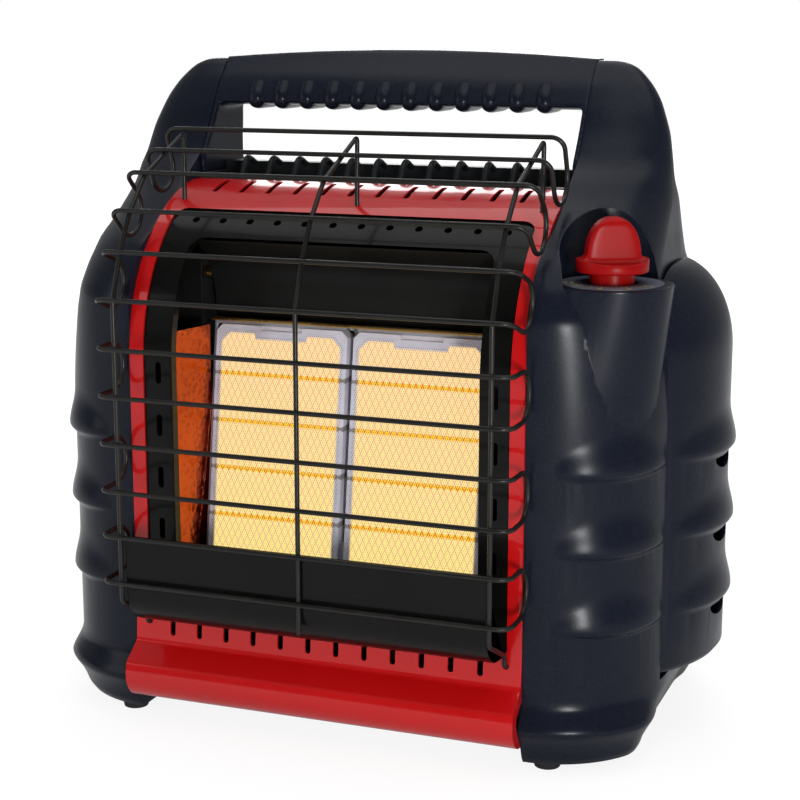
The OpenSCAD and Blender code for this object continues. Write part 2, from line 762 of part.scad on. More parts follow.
module hinge_knuckles(on_housing) {
    for (i = [0:6]) if ((i % 2 == 0) == on_housing) translate([hinge_xy[0], hinge_xy[1], 62 + i * knuckle_h])
        cylinder(h = knuckle_h - part_gap, r = hinge_r);
}

module housing_body(with_pod) {
    pod_axis = [knob_xy[0], knob_xy[1], 0];
    difference() {
        union() {
            difference() {
                union() {
                    housing_outer();
                    if (with_pod) pod(0);
                }
                difference() {
                    union() {
                        housing_inner();
                        if (with_pod) pod(wall);
                    }
                    if (with_pod) translate([knob_xy[0], knob_xy[1], pod_top - wall]) cylinder(h = 80, r = recess_r + wall);
                }
            }
            bay_walls();
            for (z = tab_zs) screw_tab(z);
        }
        if (with_pod) translate([knob_xy[0], knob_xy[1], pod_top]) cylinder(h = 80, r = recess_r);
        bay_openings();
        tab_holes();
        for (p = foot_places) translate([p[0], p[1], 0]) cylinder(h = 20, r = 3);
        panel_screw_holes();
        if (with_pod) {
            translate([knob_xy[0], knob_xy[1], pod_top - wall - 1]) cylinder(h = 5, r = sleeve_r + 0.5);
            along_y(trunnion_xy[0], tube_z, bay_front - 1, bay_front + wall + 1, tube_r + 0.5);
            for (z = [main_tube_z, tube_z]) x_bar(panel_x - 1, panel_x + wall + 1, knob_xy[1], z, tube_r + 0.5);
            translate([panel_x + wall / 2, knob_xy[1] - 7, pilot_tube_z]) cube([2 * wall, 8, 8], center = true);
        }
    }
    difference() {
        union() {
            hinge_knuckles(true);
            for (i = [0:2:6]) box([hinge_xy[0] - 3.5, hinge_xy[1] + 2, 62 + i * knuckle_h],
                [hinge_xy[0] + 0.5, bay_back + 1, 62 + (i + 1) * knuckle_h - part_gap]);
        }
        translate([hinge_xy[0], hinge_xy[1], 50]) cylinder(h = 220, r = hinge_pin_r);
    }
}

// Upright pod under the knob, fading into the front lobe lower down.
module pod(d) {
    intersection() {
        hull() {
            translate([knob_xy[0], knob_xy[1], pod_top - 1 - d]) cylinder(h = 1, r = pod_r - d, $fn = 32);
            translate([pod_foot_xy[0], pod_foot_xy[1], pod_foot_z]) cylinder(h = 1, r = pod_foot_r - d, $fn = 32);
        }
        box([panel_x + d, knob_xy[1] - 60, pod_foot_z - 1], [240, knob_xy[1] + 60, pod_top]);
    }
}

module left_housing() {
    color("midnightblue") mirror([1, 0, 0]) housing_body(false);
}

module right_housing() {
    color("midnightblue") housing_body(true);
}

// Sheet tray that closes the inboard side of the bay.
module bay_liner() {
    y0 = bay_front + 7;
    y1 = bay_back - 10;
    z0 = bay_floor - 2;
    z1 = bay_top - 1;
    difference() {
        box([bay_in, y0, z0], [panel_x, y1, z1]);
        box([bay_in + thin, y0 + thin, z0 + thin], [panel_x + 1, y1 - thin, z1 - thin]);
    }
}

module left_bay_liner() {
    color("lightgray") difference() {
        mirror([1, 0, 0]) bay_liner();
        x_bar(-bay_in - 3, -bay_in + 1, cross_y, cross_z, tube_r);
    }
}

module right_bay_liner() {
    color("lightgray") bay_liner();
}

// ======== doors ========

function door_profile(inset) = concat([[door_r - inset - 4, door_bottom], [door_r - inset, door_bottom + 4]],
    [for (r = ridge_zs) each [[door_r - inset, r - 6], [door_r - inset + ridge_rise - 0.2, r],
        [door_r - inset, r + 25]]],
    [for (t = [0:10:80]) [door_dome_r + (door_r - inset - door_dome_r) * cos(t),
        door_straight + (door_top - inset - door_straight) * sin(t)]]);

module door() {
    rim = 8;
    difference() {
        union() {
            difference() {
                intersection() {
                    translate([door_c[0], door_c[1], 0]) rotate([0, 0, -60]) rotate_extrude(angle = 120, $fn = 120)
                        polygon(concat(door_profile(0), reverse(door_profile(door_t))));
                    box([door_edge_x, door_front, door_bottom], [240, hinge_xy[1] - hinge_r, door_top]);
                }
                for (r = ridge_zs) box([200, door_c[1] - 22, r - 15], [240, door_c[1] + 22, r - 7]);
            }
            difference() {
                hinge_knuckles(false);
                translate([hinge_xy[0], hinge_xy[1], 50]) cylinder(h = 220, r = hinge_pin_r + run_gap);
            }
            for (i = [1:2:5]) box([hinge_xy[0] - 2, hinge_xy[1] - hinge_r - 3, 62 + i * knuckle_h],
                [hinge_xy[0] + 1.5, hinge_xy[1] - 2, 62 + (i + 1) * knuckle_h - part_gap]);
        }
    }
}

module left_door() {
    color("midnightblue") mirror([1, 0, 0]) door();
}

module right_door() {
    color("midnightblue") door();
}

module hinge_pin() {
    translate([hinge_xy[0], hinge_xy[1], 60]) cylinder(h = 7 * knuckle_h + 4, r = hinge_pin_r);
}

module left_hinge_pins() {
    color("silver") mirror([1, 0, 0]) hinge_pin();
}

module right_hinge_pins() {
    color("silver") hinge_pin();
}

// ======== bottle regulators ========

module regulator() {
    body_h = 22;
    neck_r = 17;
    neck_h = 20;
    translate([trunnion_xy[0], trunnion_xy[1], trunnion_z]) difference() {
        union() {
            translate([0, 0, -2 - body_h]) cylinder(h = body_h, r = regulator_r);
            translate([0, 0, -2 - body_h - neck_h]) cylinder(h = neck_h + 1, r = neck_r);
            intersection() {
                rotate([90, 0, 0]) cylinder(h = 2 * (ear_y - 2.5), r = 7, center = true);
                translate([-10, -regulator_r + 3, -10]) cube([20, 2 * regulator_r - 6, 20]);
            }
            rotate([90, 0, 0]) cylinder(h = 2 * ear_y, r = trunnion_r, center = true);
        }
        translate([0, 0, -3 - body_h - neck_h]) cylinder(h = neck_h - 3, r = thread_r);
    }
}

module left_regulator() {
    color("silver") mirror([1, 0, 0]) regulator();
}

module right_regulator() {
    color("silver") regulator();
}

module regulator_bracket() {
    translate([trunnion_xy[0], trunnion_xy[1], 0]) difference() {
        union() {
            box([-18, -ear_y - ear_t, bay_top - 1.5], [18, ear_y + ear_t, bay_top]);
            for (s = [-1, 1]) translate([-9, s * ear_y - (s < 0 ? ear_t : 0), trunnion_z - 8])
                cube([18, ear_t, bay_top - 1.5 - trunnion_z + 8]);
        }
        translate([0, 0, trunnion_z]) rotate([90, 0, 0]) cylinder(h = 80, r = trunnion_r + run_gap, center = true);
    }
}

module left_regulator_bracket() {
    color("gray") mirror([1, 0, 0]) regulator_bracket();
}

module right_regulator_bracket() {
    color("gray") regulator_bracket();
}

// ======== handle and top ========

function handle_side() = [[-4, leg_foot_z], [-6, grip_z(0.132)], [9.2, grip_z(0.408)], [16.6, grip_z(0.579)],
    [27.4, grip_z(0.803)], [39.8, tower_h - 2], [47, tower_h + arch_rise + 1], [56, tower_h + arch_rise + 1],
    [59, tower_h - 2], [63, grip_z(0.803)], [68, grip_z(0.579)], [84, grip_z(0.158)], [86, leg_foot_z]];

function arch_z(x) = tower_h + arch_rise * (1 - pow(x / handle_x, 2));

// Front outline of the handle: arched on top, open below the grip.
function handle_front() =
    let (c = 12, gx = grip_gap_x, gz = grip_gap_z)
    concat([[-handle_x, leg_foot_z]], [for (i = [-8:8]) [handle_x * i / 8, arch_z(handle_x * i / 8)]],
        [[handle_x, leg_foot_z], [gx, leg_foot_z]], arc([gx - c, gz - c], c, 0, 90, 5),
        arc([c - gx, gz - c], c, 90, 180, 5), [[-gx, leg_foot_z]]);

module handle() {
    rib_n = 12;
    rib_pitch = 18.4;
    rib_r = 3.5;
    color("midnightblue") {
        intersection() {
            along_x(-handle_x, handle_x) polygon(handle_side());
            translate([0, 120, 0]) rotate([90, 0, 0]) linear_extrude(150) polygon(handle_front());
        }
        for (i = [0:rib_n - 1]) along_y(rib_pitch * (i - (rib_n - 1) / 2), grip_gap_z + 0.8, 19, 65, rib_r);
    }
}

// Comb of rounded ribs over the hot-air outlet behind the panel.
module top_grille() {
    rib_t = 4;
    foot = leg_foot_z - 9;
    front = -8.4;
    back = 42;
    rib = [[front, foot], [front, foot + 8], [3, foot + 16], [12, foot + 20], [17, foot + 20], [26, foot + 16],
        [back - 4, foot + 12], [back, foot + 12], [back, foot]];
    color("black") {
        for (i = [0:slot_count - 1]) {
            along_x(slot_x(i) - rib_t / 2, slot_x(i) + rib_t / 2) polygon(rib);
        }
        box([-panel_x, front, foot], [panel_x, front + 3.4, foot + 5]);
        box([-panel_x, back - 4, foot], [panel_x, back, leg_foot_z]);
        mirror_pair() box([panel_x - 4, front, foot], [panel_x, back, leg_foot_z]);
    }
}

// ======== rear ========

function rear_path() = concat([[42, 350], [84, 350], [108, 318]], [[rear_y - 6, 296], [rear_y, 280], [rear_y, 20],
    [rear_y, pan_z]]);

module rear_cover() {
    louver_zs = [225:12:273];
    color("black") difference() {
        bent_sheet(rear_path(), sheet, -panel_x, panel_x);
        along_y(fan_c[0], fan_c[1], rear_y - 10, rear_y + 5, fan_d / 2 + 2);
        box([-battery_x, rear_y - 10, battery_z[0]], [battery_x, rear_y + 5, battery_z[1]]);
        for (z = louver_zs) box([-80, rear_y - 10, z], [80, rear_y + 5, z + 4]);
        box([switch_xz[0] - 11, rear_y - 10, switch_xz[1] - 9], [switch_xz[0] + 11, rear_y + 5, switch_xz[1] + 9]);
        mirror_pair() tab_holes();
    }
}

module fan_grille() {
    ring_r = fan_d / 2 + 10;
    face_t = 3;
    y1 = rear_max;
    color("black") {
        difference() {
            along_y(fan_c[0], fan_c[1], rear_y, y1, ring_r);
            along_y(fan_c[0], fan_c[1], rear_y - 1, y1 + 1, ring_r - 4);
        }
        for (r = [10:10:ring_r - 6]) difference() {
            along_y(fan_c[0], fan_c[1], y1 - face_t, y1, r + 1.5);
            along_y(fan_c[0], fan_c[1], y1 - face_t - 1, y1 + 1, r - 1.5);
        }
        for (a = [0:45:135]) translate([fan_c[0], (y1 + y1 - face_t) / 2, fan_c[1]]) rotate([0, a, 0])
            cube([2 * ring_r - 4, face_t, 3], center = true);
    }
}

module fan_shroud() {
    ring_r = fan_d / 2 + 7;
    hub_r = 19;
    spoke_y = 86;
    color("dimgray") {
        difference() {
            along_y(fan_c[0], fan_c[1], spoke_y, rear_y - sheet, ring_r);
            along_y(fan_c[0], fan_c[1], spoke_y - 1, rear_y, ring_r - 4);
        }
        difference() {
            along_y(fan_c[0], fan_c[1], spoke_y, spoke_y + 14, hub_r);
            along_y(fan_c[0], fan_c[1], spoke_y - 5, spoke_y + 20, hub_r - 3);
        }
        for (a = [0:60:300]) translate([fan_c[0], spoke_y + 3, fan_c[1]]) rotate([0, a, 0])
            translate([hub_r - 1.5, -2, -2.5]) cube([ring_r - hub_r - 0.5, 4, 5]);
    }
}

module fan_motor() {
    color("silver") difference() {
        along_y(fan_c[0], fan_c[1], motor_y[0], motor_y[1], 16);
        along_y(fan_c[0], fan_c[1], motor_y[0] + 6, motor_y[1] + 1, 2 + run_gap);
    }
}

module fan_rotor() {
    hub_r = 13;
    color("gray") {
        along_y(fan_c[0], fan_c[1], motor_y[0] + 7, motor_y[1] + 6, 2);
        along_y(fan_c[0], fan_c[1], motor_y[1] + 2, motor_y[1] + 18, hub_r);
        for (i = [0:fan_blades - 1]) translate([fan_c[0], motor_y[1] + 10, fan_c[1]])
            rotate([0, i * 360 / fan_blades, 0]) rotate([35, 0, 0])
            translate([hub_r - 2, -1, -10]) cube([fan_d / 2 - hub_r - 1, 2, 20]);
    }
}

module battery_box() {
    x1 = battery_x;
    t = 2;
    ear_x = x1 + 6;
    color("dimgray") difference() {
        union() {
            box([-x1, battery_y, battery_z[0]], [x1, rear_y + 2, battery_z[1]]);
            box([-ear_x, rear_y, battery_z[0] - 8], [ear_x, rear_y + 2, battery_z[1] + 6]);
            mirror_pair() box([ear_x - 3, rear_y + 1, battery_z[0] - 8], [ear_x, battery_hinge[0] + 2, battery_z[0] - 2]);
        }
        box([-x1 + t, battery_y + t, battery_z[0] + t], [x1 - t, rear_y + 3, battery_z[1] - t]);
        x_bar(-100, 100, battery_hinge[0], battery_hinge[1], 1.5 + run_gap);
    }
}

module battery_cover() {
    x1 = battery_x + 2.5;
    color("black") difference() {
        union() {
            box([-x1, rear_y + 2 + part_gap, battery_hinge[1]], [x1, rear_y + 2 + part_gap + 3, battery_z[1] + 4]);
            x_bar(-x1, x1, battery_hinge[0], battery_hinge[1], 2.6);
            x_bar(-x1 - 3, x1 + 3, battery_hinge[0], battery_hinge[1], 1.5);
        }
        for (x = [-50:10:50]) box([x - 2, rear_y + 4.4, battery_z[1] - 10], [x + 2, rear_y + 8, battery_z[1] - 2]);
    }
}

module fan_switch_frame() {
    c = [switch_xz[0], rear_y - 2, switch_xz[1]];
    color("black") difference() {
        union() {
            box([c[0] - 11, c[1] - 8, c[2] - 9], [c[0] + 11, c[1] + 3, c[2] + 9]);
            box([c[0] - 13, rear_y, c[2] - 11], [c[0] + 13, rear_y + 2, c[2] + 11]);
        }
        x_bar(c[0] - 9, c[0] + 9, c[1], c[2], 6.8);
        box([c[0] - 9, c[1], c[2] - 6.8], [c[0] + 9, c[1] + 10, c[2] + 6.8]);
        x_bar(c[0] - 12, c[0] + 12, c[1], c[2], 1.5 + run_gap);
    }
}

module fan_switch_rocker() {
    c = [switch_xz[0], rear_y - 2, switch_xz[1]];
    color("red") {
        intersection() {
            x_bar(c[0] - 8.6, c[0] + 8.6, c[1], c[2], 6.4);
            box([c[0] - 9, c[1] - 7, c[2] - 7], [c[0] + 9, c[1] + 7, c[2] + 7]);
        }
        x_bar(c[0] - 10.8, c[0] + 10.8, c[1], c[2], 1.5);
    }
}

module tip_switch_frame() {
    c = [tip_xy[0], tip_xy[1], pan_z];
    axis_z = 30;
    color("ivory") difference() {
        union() {
            box(c + [-16, -12, 0], c + [16, 12, 2]);
            for (s = [-1, 1]) translate(c + [s * 12, 0, 0]) translate([-1.5, -8, 0]) cube([3, 16, axis_z + 6]);
        }
        x_bar(c[0] - 20, c[0] + 20, c[1], c[2] + axis_z, 1.5 + run_gap);
    }
}

module tip_weight() {
    c = [tip_xy[0], tip_xy[1], pan_z];
    axis_z = 30;
    color("silver") {
        x_bar(c[0] - 13.4, c[0] + 13.4, c[1], c[2] + axis_z, 1.5);
        x_bar(c[0] - 4, c[0] + 4, c[1], c[2] + axis_z, 3.5);
        bar(c + [0, 0, axis_z], c + [0, 0, 14], 2);
        translate(c + [0, 0, 12]) cylinder(h = 9, r = 7, center = true);
    }
}

// ======== base ========

foot_places = [[143.3, -92], [143.3, 121]];

module base_pan() {
    side = 14;
    y0 = roll_c[0] + 4;
    y1 = rear_y - sheet;
    color("gray") difference() {
        union() {
            box([-panel_x, y0, pan_z - sheet], [panel_x, y1, pan_z]);
            mirror_pair() box([panel_x - sheet, roll_c[0] + flange_back + 2, pan_z - sheet], [panel_x, y1 - 14, pan_z + side]);
            box([-panel_x, y1 - sheet, pan_z - sheet], [panel_x, y1, pan_z + 4]);
        }
        mirror_pair() box([panel_x - 11, y1 - 13, pan_z], [panel_x + 1, y1 + 1, pan_z + 30]);
    }
}

module feet() {
    color("black") mirror_pair() for (p = foot_places) translate([p[0], p[1], 0]) {
        cylinder(h = housing_foot, r1 = 8, r2 = 9);
        cylinder(h = housing_foot + wall + 3, r = 3);
    }
}

// ======== fasteners ========

panel_screw_places = [for (z = [100, 170, 230]) [face_y + 4.6, z]];

module panel_screw_holes() {
    for (p = panel_screw_places) x_bar(panel_x - 3, panel_x + wall + 3, p[0], p[1], screw_r + run_gap);
}

module panel_screws() {
    color("silver") mirror_pair() for (p = panel_screw_places) {
        x_bar(panel_x - sheet, panel_x + wall + 2, p[0], p[1], screw_r);
        x_bar(panel_x - sheet - 2, panel_x - sheet, p[0], p[1], 2 * screw_r);
    }
}

module rear_screws() {
    color("silver") mirror_pair() for (z = tab_zs) {
        along_y(panel_x - 5, z, rear_y - 13, rear_y, screw_r);
        along_y(panel_x - 5, z, rear_y, rear_y + 2, 2 * screw_r);
    }
}

front_panel();
burner_bezel();
hearth_plate();
burner_deck();
left_reflector();
right_reflector();
reflector_hood();
trim_strip();
left_plaque();
right_plaque();
burner_frame();
burner_box();
burner_brackets();
gas_manifold();
gas_orifices();
main_gas_tube();
left_supply_tube();
right_supply_tube();
gas_valve();
valve_sleeve();
valve_stem();
control_knob();
dial_plate();
piezo_igniter();
pilot_bracket();
pilot_burner();
ignition_electrode();
thermocouple();
guard_loops();
guard_uprights();
left_housing();
right_housing();
handle();
top_grille();
left_bay_liner();
right_bay_liner();
left_door();
right_door();
left_hinge_pins();
right_hinge_pins();
left_regulator();
right_regulator();
left_regulator_bracket();
right_regulator_bracket();
rear_cover();
fan_grille();
fan_shroud();
fan_motor();
fan_rotor();
battery_box();
battery_cover();
fan_switch_frame();
fan_switch_rocker();
tip_switch_frame();
tip_weight();
base_pan();
feet();
panel_screws();
rear_screws();
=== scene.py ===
"""Portable propane heater: finished surfaces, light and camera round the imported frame."""

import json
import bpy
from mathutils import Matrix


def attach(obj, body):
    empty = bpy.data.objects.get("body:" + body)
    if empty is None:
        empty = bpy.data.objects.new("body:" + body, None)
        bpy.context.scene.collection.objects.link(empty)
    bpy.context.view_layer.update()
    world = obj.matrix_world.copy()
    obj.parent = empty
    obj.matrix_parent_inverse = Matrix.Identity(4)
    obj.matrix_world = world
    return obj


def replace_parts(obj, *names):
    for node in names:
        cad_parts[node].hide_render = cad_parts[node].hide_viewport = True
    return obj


bl_info = {
    "name": "Portable propane heater",
    "version": (1, 0, 0),
    "blender": (4, 5, 0),
    "location": "View3D > Sidebar > Heater",
    "description": "Builds the finished surfaces of a portable propane heater round its packed frame",
    "category": "Object",
}

from contextlib import contextmanager
from functools import partial
from math import cos, pi, radians, sin, sqrt

import bmesh
import bpy
import numpy as np
from bpy.props import FloatProperty, FloatVectorProperty, IntProperty, PointerProperty
from mathutils import Vector

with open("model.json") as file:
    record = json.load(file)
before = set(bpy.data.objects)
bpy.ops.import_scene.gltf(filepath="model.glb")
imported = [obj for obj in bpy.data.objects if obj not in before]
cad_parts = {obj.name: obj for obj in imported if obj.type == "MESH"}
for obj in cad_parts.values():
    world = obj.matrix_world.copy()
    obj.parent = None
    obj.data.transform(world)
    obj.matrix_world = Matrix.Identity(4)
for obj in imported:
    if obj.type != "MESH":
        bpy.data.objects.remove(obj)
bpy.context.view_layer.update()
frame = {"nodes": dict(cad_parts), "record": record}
SLOTS = {p["node"]: p["material_slot"] for p in frame["record"]["subparts"]}
BODIES = {n: b for b, nodes in frame["record"]["behaviour"]["bodies"].items() for n in nodes}
MM = 0.001


# ---- sizes and colours -------------------------------------------------------------


def linear(*rgb):
    """Screen colour, 0 to 255, as the linear colour that a shader takes."""
    return tuple(c / 255 / 12.92 if c <= 10 else ((c / 255 + 0.055) / 1.055) ** 2.4 for c in rgb)


def colour(label, text, *rgb):
    return FloatVectorProperty(name=label, description=text, subtype="COLOR", size=3, min=0, max=1,
                               default=linear(*rgb))


def length(label, text, mm):
    return FloatProperty(name=label, description=text, unit="LENGTH", default=mm * MM)


class HeaterSizes(bpy.types.PropertyGroup):
    sheet: length("Sheet thickness", "Thickness of the casing's enamelled sheet", 1.5)
    sheet_edge: length("Sheet edge", "Rounding of cut sheet edges", 0.45)
    moulding_edge: length("Moulding edge", "Rounding of the plastic mouldings' edges", 0.9)
    wire_radius: length("Wire radius", "Radius of the guard's wire", 1.5)
    ridge_rise: length("Ridge rise", "How far the scalloped ridges stand out of the housings", 4.5)
    slots: IntProperty(name="Slots", description="Number of slots along the front panel", default=12, min=1)
    slot_pitch: length("Slot pitch", "Spacing of the panel's slots", 19.05)
    grip_ribs: IntProperty(name="Grip ribs", description="Number of ribs under the handle", default=12,
                           min=1)


class HeaterFinishes(bpy.types.PropertyGroup):
    red: colour("Red enamel", "Front panel", 190, 12, 14)
    knob: colour("Knob red", "Control knob", 158, 9, 10)
    navy: colour("Navy plastic", "Side housings, doors and handle", 20, 24, 35)
    black: colour("Black enamel", "Bezel, hood and rear cover", 13, 13, 12)
    wire: colour("Guard wire", "Painted wire of the guard", 22, 22, 20)
    brass: colour("Brass", "Trim strip and gas fittings", 200, 160, 96)
    ceramic: colour("Ceramic", "Unlit rim of the plaques", 214, 210, 220)
    # the plaques' own glow with the front light painted on it as a whiter highlight
    glow: colour("Glow", "Lit cells of the plaques", 255, 240, 142)
    glow_ridge: colour("Glow ridges", "Raised lattice of the plaques", 249, 186, 148)
    # plain glow where the guard wires' shadows are painted across the plaques
    glow_band: colour("Glow in wire shadows", "Plain glow in the painted shadows of the guard wires", 240, 124, 30)


def sizes():
    return bpy.context.scene.heater_sizes


def colours():
    return bpy.context.scene.heater_finishes


# ---- mesh making, in millimetres ---------------------------------------------------


# Distances in metres under which points are merged: in a new mesh, and before edges are rounded
WELD, WELD_LAST = 2e-6, 4e-6
# Angle in degrees under which neighbouring faces count as one
FLAT = 0.25


def linked(name, data):
    """New object in the scene."""
    ob = bpy.data.objects.new(name, data)
    bpy.context.scene.collection.objects.link(ob)
    return ob


def mesh_object(name, points, edges=(), faces=()):
    """Object from points in metres."""
    mesh = bpy.data.meshes.new(name)
    mesh.from_pydata(points, edges, faces)
    return linked(name, mesh)


@contextmanager
def editing(ob):
    bm = bmesh.new()
    bm.from_mesh(ob.data)
    yield bm
    bm.to_mesh(ob.data)
    bm.free()


def solid(name, points, faces):
    """Closed mesh from points in millimetres, its faces turned outward."""
    ob = mesh_object(name, (np.asarray(points, float) * MM).tolist(), faces=faces)
    with editing(ob) as bm:
        bmesh.ops.remove_doubles(bm, verts=bm.verts, dist=WELD)
        bmesh.ops.recalc_face_normals(bm, faces=bm.faces)
    return ob


def ring_stack(name, rings):
    """Solid through rings that all have the same number of points."""
    rings = np.asarray(rings, float)
    m, k, _ = rings.shape
    index = np.arange(m * k).reshape(m, k)
    following = np.roll(index, -1, axis=1)
    quads = np.stack([index[:-1], following[:-1], following[1:], index[1:]], -1).reshape(-1, 4)
    return solid(name, rings.reshape(-1, 3), quads.tolist() + [index[0][::-1].tolist(), index[-1].tolist()])


def prism(name, outline, axis, low, high):
    """Outline drawn across an axis, and carried along it from low to high."""
    outline = np.asarray(outline, float)
    return ring_stack(name, [np.insert(outline, axis, at, axis=1) for at in (low, high)])


def block(low, high):
    (x0, y0, z0), (x1, y1, z1) = low, high
    return prism("block", [(x0, y0), (x1, y0), (x1, y1), (x0, y1)], 2, z0, z1)


def arc(centre, radius, start, end, steps=24):
    a = np.radians(np.linspace(start, end, steps + 1))
    radius = np.broadcast_to(radius, 2)
    return np.stack([centre[0] + radius[0] * np.cos(a), centre[1] + radius[1] * np.sin(a)], 1)


def disc(centre, radius, axis, low, high, steps=64):
    """Round bar along an axis."""
    return prism("disc", arc(centre, radius, 0, 360, steps)[:-1], axis, low, high)


def rounded_box(x0, x1, z0, z1, foot, head):
    """Outline with elliptical corners: foot and head are the corners' (width, height)."""
    (fw, fh), (hw, hh) = foot, head
    return np.vstack([
        arc((x1 - fw, z0 + fh), (fw, fh), 270, 360, 8), arc((x1 - hw, z1 - hh), (hw, hh), 0, 90, 8),
        arc((x0 + hw, z1 - hh), (hw, hh), 90, 180, 8), arc((x0 + fw, z0 + fh), (fw, fh), 180, 270, 8)])


def stadium(centre, width, height):
    r = min(width, height) / 2
    return rounded_box(centre[0] - width / 2, centre[0] + width / 2, centre[1] - height / 2,
                       centre[1] + height / 2, (r, r), (r, r))


def shifted(path, t):
    """Path moved t to its right, with mitred corners."""
    path = np.asarray(path, float)
    edge = np.diff(path, axis=0)
    normal = np.stack([edge[:, 1], -edge[:, 0]], 1) / np.linalg.norm(edge, axis=1)[:, None]
    before, after = np.vstack([normal[:1], normal]), np.vstack([normal, normal[-1:]])
    mitre = before + after
    mitre /= np.linalg.norm(mitre, axis=1)[:, None]
    return path + t * mitre / (mitre * before).sum(1)[:, None]


def softened(path, reach, steps=6):
    """Path with each inner corner eased over reach on either side."""
    path = np.asarray(path, float)
    out = [path[0]]
    for before, corner, after in zip(path, path[1:], path[2:]):
        a = corner + (before - corner) * min(reach / np.linalg.norm(before - corner), 0.48)
        b = corner + (after - corner) * min(reach / np.linalg.norm(after - corner), 0.48)
        out += [(1 - t) ** 2 * a + 2 * t * (1 - t) * corner + t * t * b for t in np.linspace(0, 1, steps)]
    return np.array(out + [path[-1]])


def sheet(name, path, t, x0, x1):
    """Bent sheet: a strip t thick along a (y, z) path."""
    return prism(name, np.vstack([path, shifted(path, t)[::-1]]), 0, x0, x1)


def baked(ob):
    """Turns what the modifiers make into the object's own mesh."""
    graph = bpy.context.evaluated_depsgraph_get()
    mesh = bpy.data.meshes.new_from_object(ob.evaluated_get(graph))
    ob.modifiers.clear()
    ob.data = mesh
    return ob


def combine(ob, how, *tools):
    for tool in tools:
        step = ob.modifiers.new("Shape", "BOOLEAN")
        step.operation, step.object, step.solver = how, tool, "MANIFOLD"
    baked(ob)
    for tool in tools:
        bpy.data.objects.remove(tool)
    if not ob.data.polygons:
        raise RuntimeError(f"{ob.name} came out empty")
    return ob


def cut(ob, *tools):
    return combine(ob, "DIFFERENCE", *tools)


def join(ob, *tools):
    return combine(ob, "UNION", *tools)


def keep(ob, *tools):
    return combine(ob, "INTERSECT", *tools)


def mirrored(ob):
    """Turns a right-hand piece into the left-hand one."""
    with editing(ob) as bm:
        for v in bm.verts:
            v.co.x = -v.co.x
        bmesh.ops.reverse_faces(bm, faces=bm.faces)
    return ob


def doubled(ob):
    """Adds the piece's own mirror image."""
    return join(ob, mirrored(linked("mirror_image", ob.data.copy())))


def smoothed(ob, sharp=None):
    """Shades every face smooth, apart from edges sharper than an angle in degrees."""
    ob.data.polygons.foreach_set("use_smooth", np.ones(len(ob.data.polygons), bool))
    if sharp is not None:
        ob.data.set_sharp_from_angle(angle=radians(sharp))
    return ob


def edged(ob, width, angle=40, segments=2, smooth=35, level=True):
    """Rounds the sharp edges, and shades the rest smooth, with flat faces kept flat where level."""
    with editing(ob) as bm:
        bmesh.ops.remove_doubles(bm, verts=bm.verts, dist=WELD_LAST)
        bmesh.ops.dissolve_limit(bm, angle_limit=radians(FLAT), verts=bm.verts, edges=bm.edges)
    if width > 0:
        step = ob.modifiers.new("Edges", "BEVEL")
        step.limit_method, step.angle_limit = "ANGLE", radians(angle)
        step.width, step.segments, step.use_clamp_overlap = width, segments, True
        baked(ob)
    smoothed(ob, smooth)
    if level:
        ob.modifiers.new("Flat faces", "WEIGHTED_NORMAL").keep_sharp = True
        baked(ob)
    return ob


def placed(ob, *nodes, finish=None):
    """Gives the piece its finish, and lets it stand for its CAD nodes on their body."""
    ob.data.materials.clear()
    ob.data.materials.append(material_of(finish or SLOTS[nodes[0]]))
    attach(ob, BODIES[nodes[0]])
    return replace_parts(ob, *nodes)


def dressed(node, width, finish=None, angle=40, segments=2):
    """Piece with the CAD node's own shape, its edges rounded."""
    ob = linked(node + "_finished", frame["nodes"][node].data.copy())
    return placed(edged(ob, width, angle, segments), node, finish=finish)


# ---- geometry trees ----------------------------------------------------------------


def geometry_group(name, inputs, build):
    """Tree that makes a shape from its Geometry and the named inputs, and paints it."""
    if name in bpy.data.node_groups:
        return bpy.data.node_groups[name]
    tree = bpy.data.node_groups.new(name, "GeometryNodeTree")
    for way in ("INPUT", "OUTPUT"):
        tree.interface.new_socket("Geometry", in_out=way, socket_type="NodeSocketGeometry")
    for label, kind in (*inputs, ("Material", "Material")):
        tree.interface.new_socket(label, in_out="INPUT", socket_type="NodeSocket" + kind)
    n = Nodes(tree)
    given = n.add("NodeGroupInput").outputs
    real = n.made("GeometryNodeRealizeInstances", {"Geometry": build(n, given)})
    painted = n.made("GeometryNodeSetMaterial", {"Geometry": real, "Material": given["Material"]})
    n.feed(n.add("NodeGroupOutput").inputs["Geometry"], painted)
    return tree


def wire_tree():
    """Round wire along every edge path of the mesh."""

    def build(n, given):
        path = n.made("GeometryNodeMeshToCurve", {"Mesh": given["Geometry"]})
        section = n.made("GeometryNodeCurvePrimitiveCircle",
                         {"Resolution": given["Sides"], "Radius": given["Radius"]})
        return n.made("GeometryNodeCurveToMesh",
                      {"Curve": path, "Profile Curve": section, "Fill Caps": True})

    return geometry_group("Bent wire", [("Radius", "Float"), ("Sides", "Int")], build)


def repeat_tree():
    """One copy of a piece on every point of the mesh."""

    def build(n, given):
        piece = n.add("GeometryNodeObjectInfo", {"Object": given["Piece"]}).outputs["Geometry"]
        return n.made("GeometryNodeInstanceOnPoints",
                      {"Points": given["Geometry"], "Instance": piece, "Rotation": given["Turn"]})

    return geometry_group("Repeated piece", [("Piece", "Object"), ("Turn", "Rotation")], build)


def grown(ob, tree, **inputs):
    """Runs a geometry tree on the object and keeps what it makes as a plain mesh."""
    step = ob.modifiers.new("Grown", "NODES")
    step.node_group = tree
    for item in tree.interface.items_tree:
        if item.item_type == "SOCKET" and item.in_out == "INPUT" and item.name in inputs:
            step[item.identifier] = inputs[item.name]
    return smoothed(baked(ob), 40)


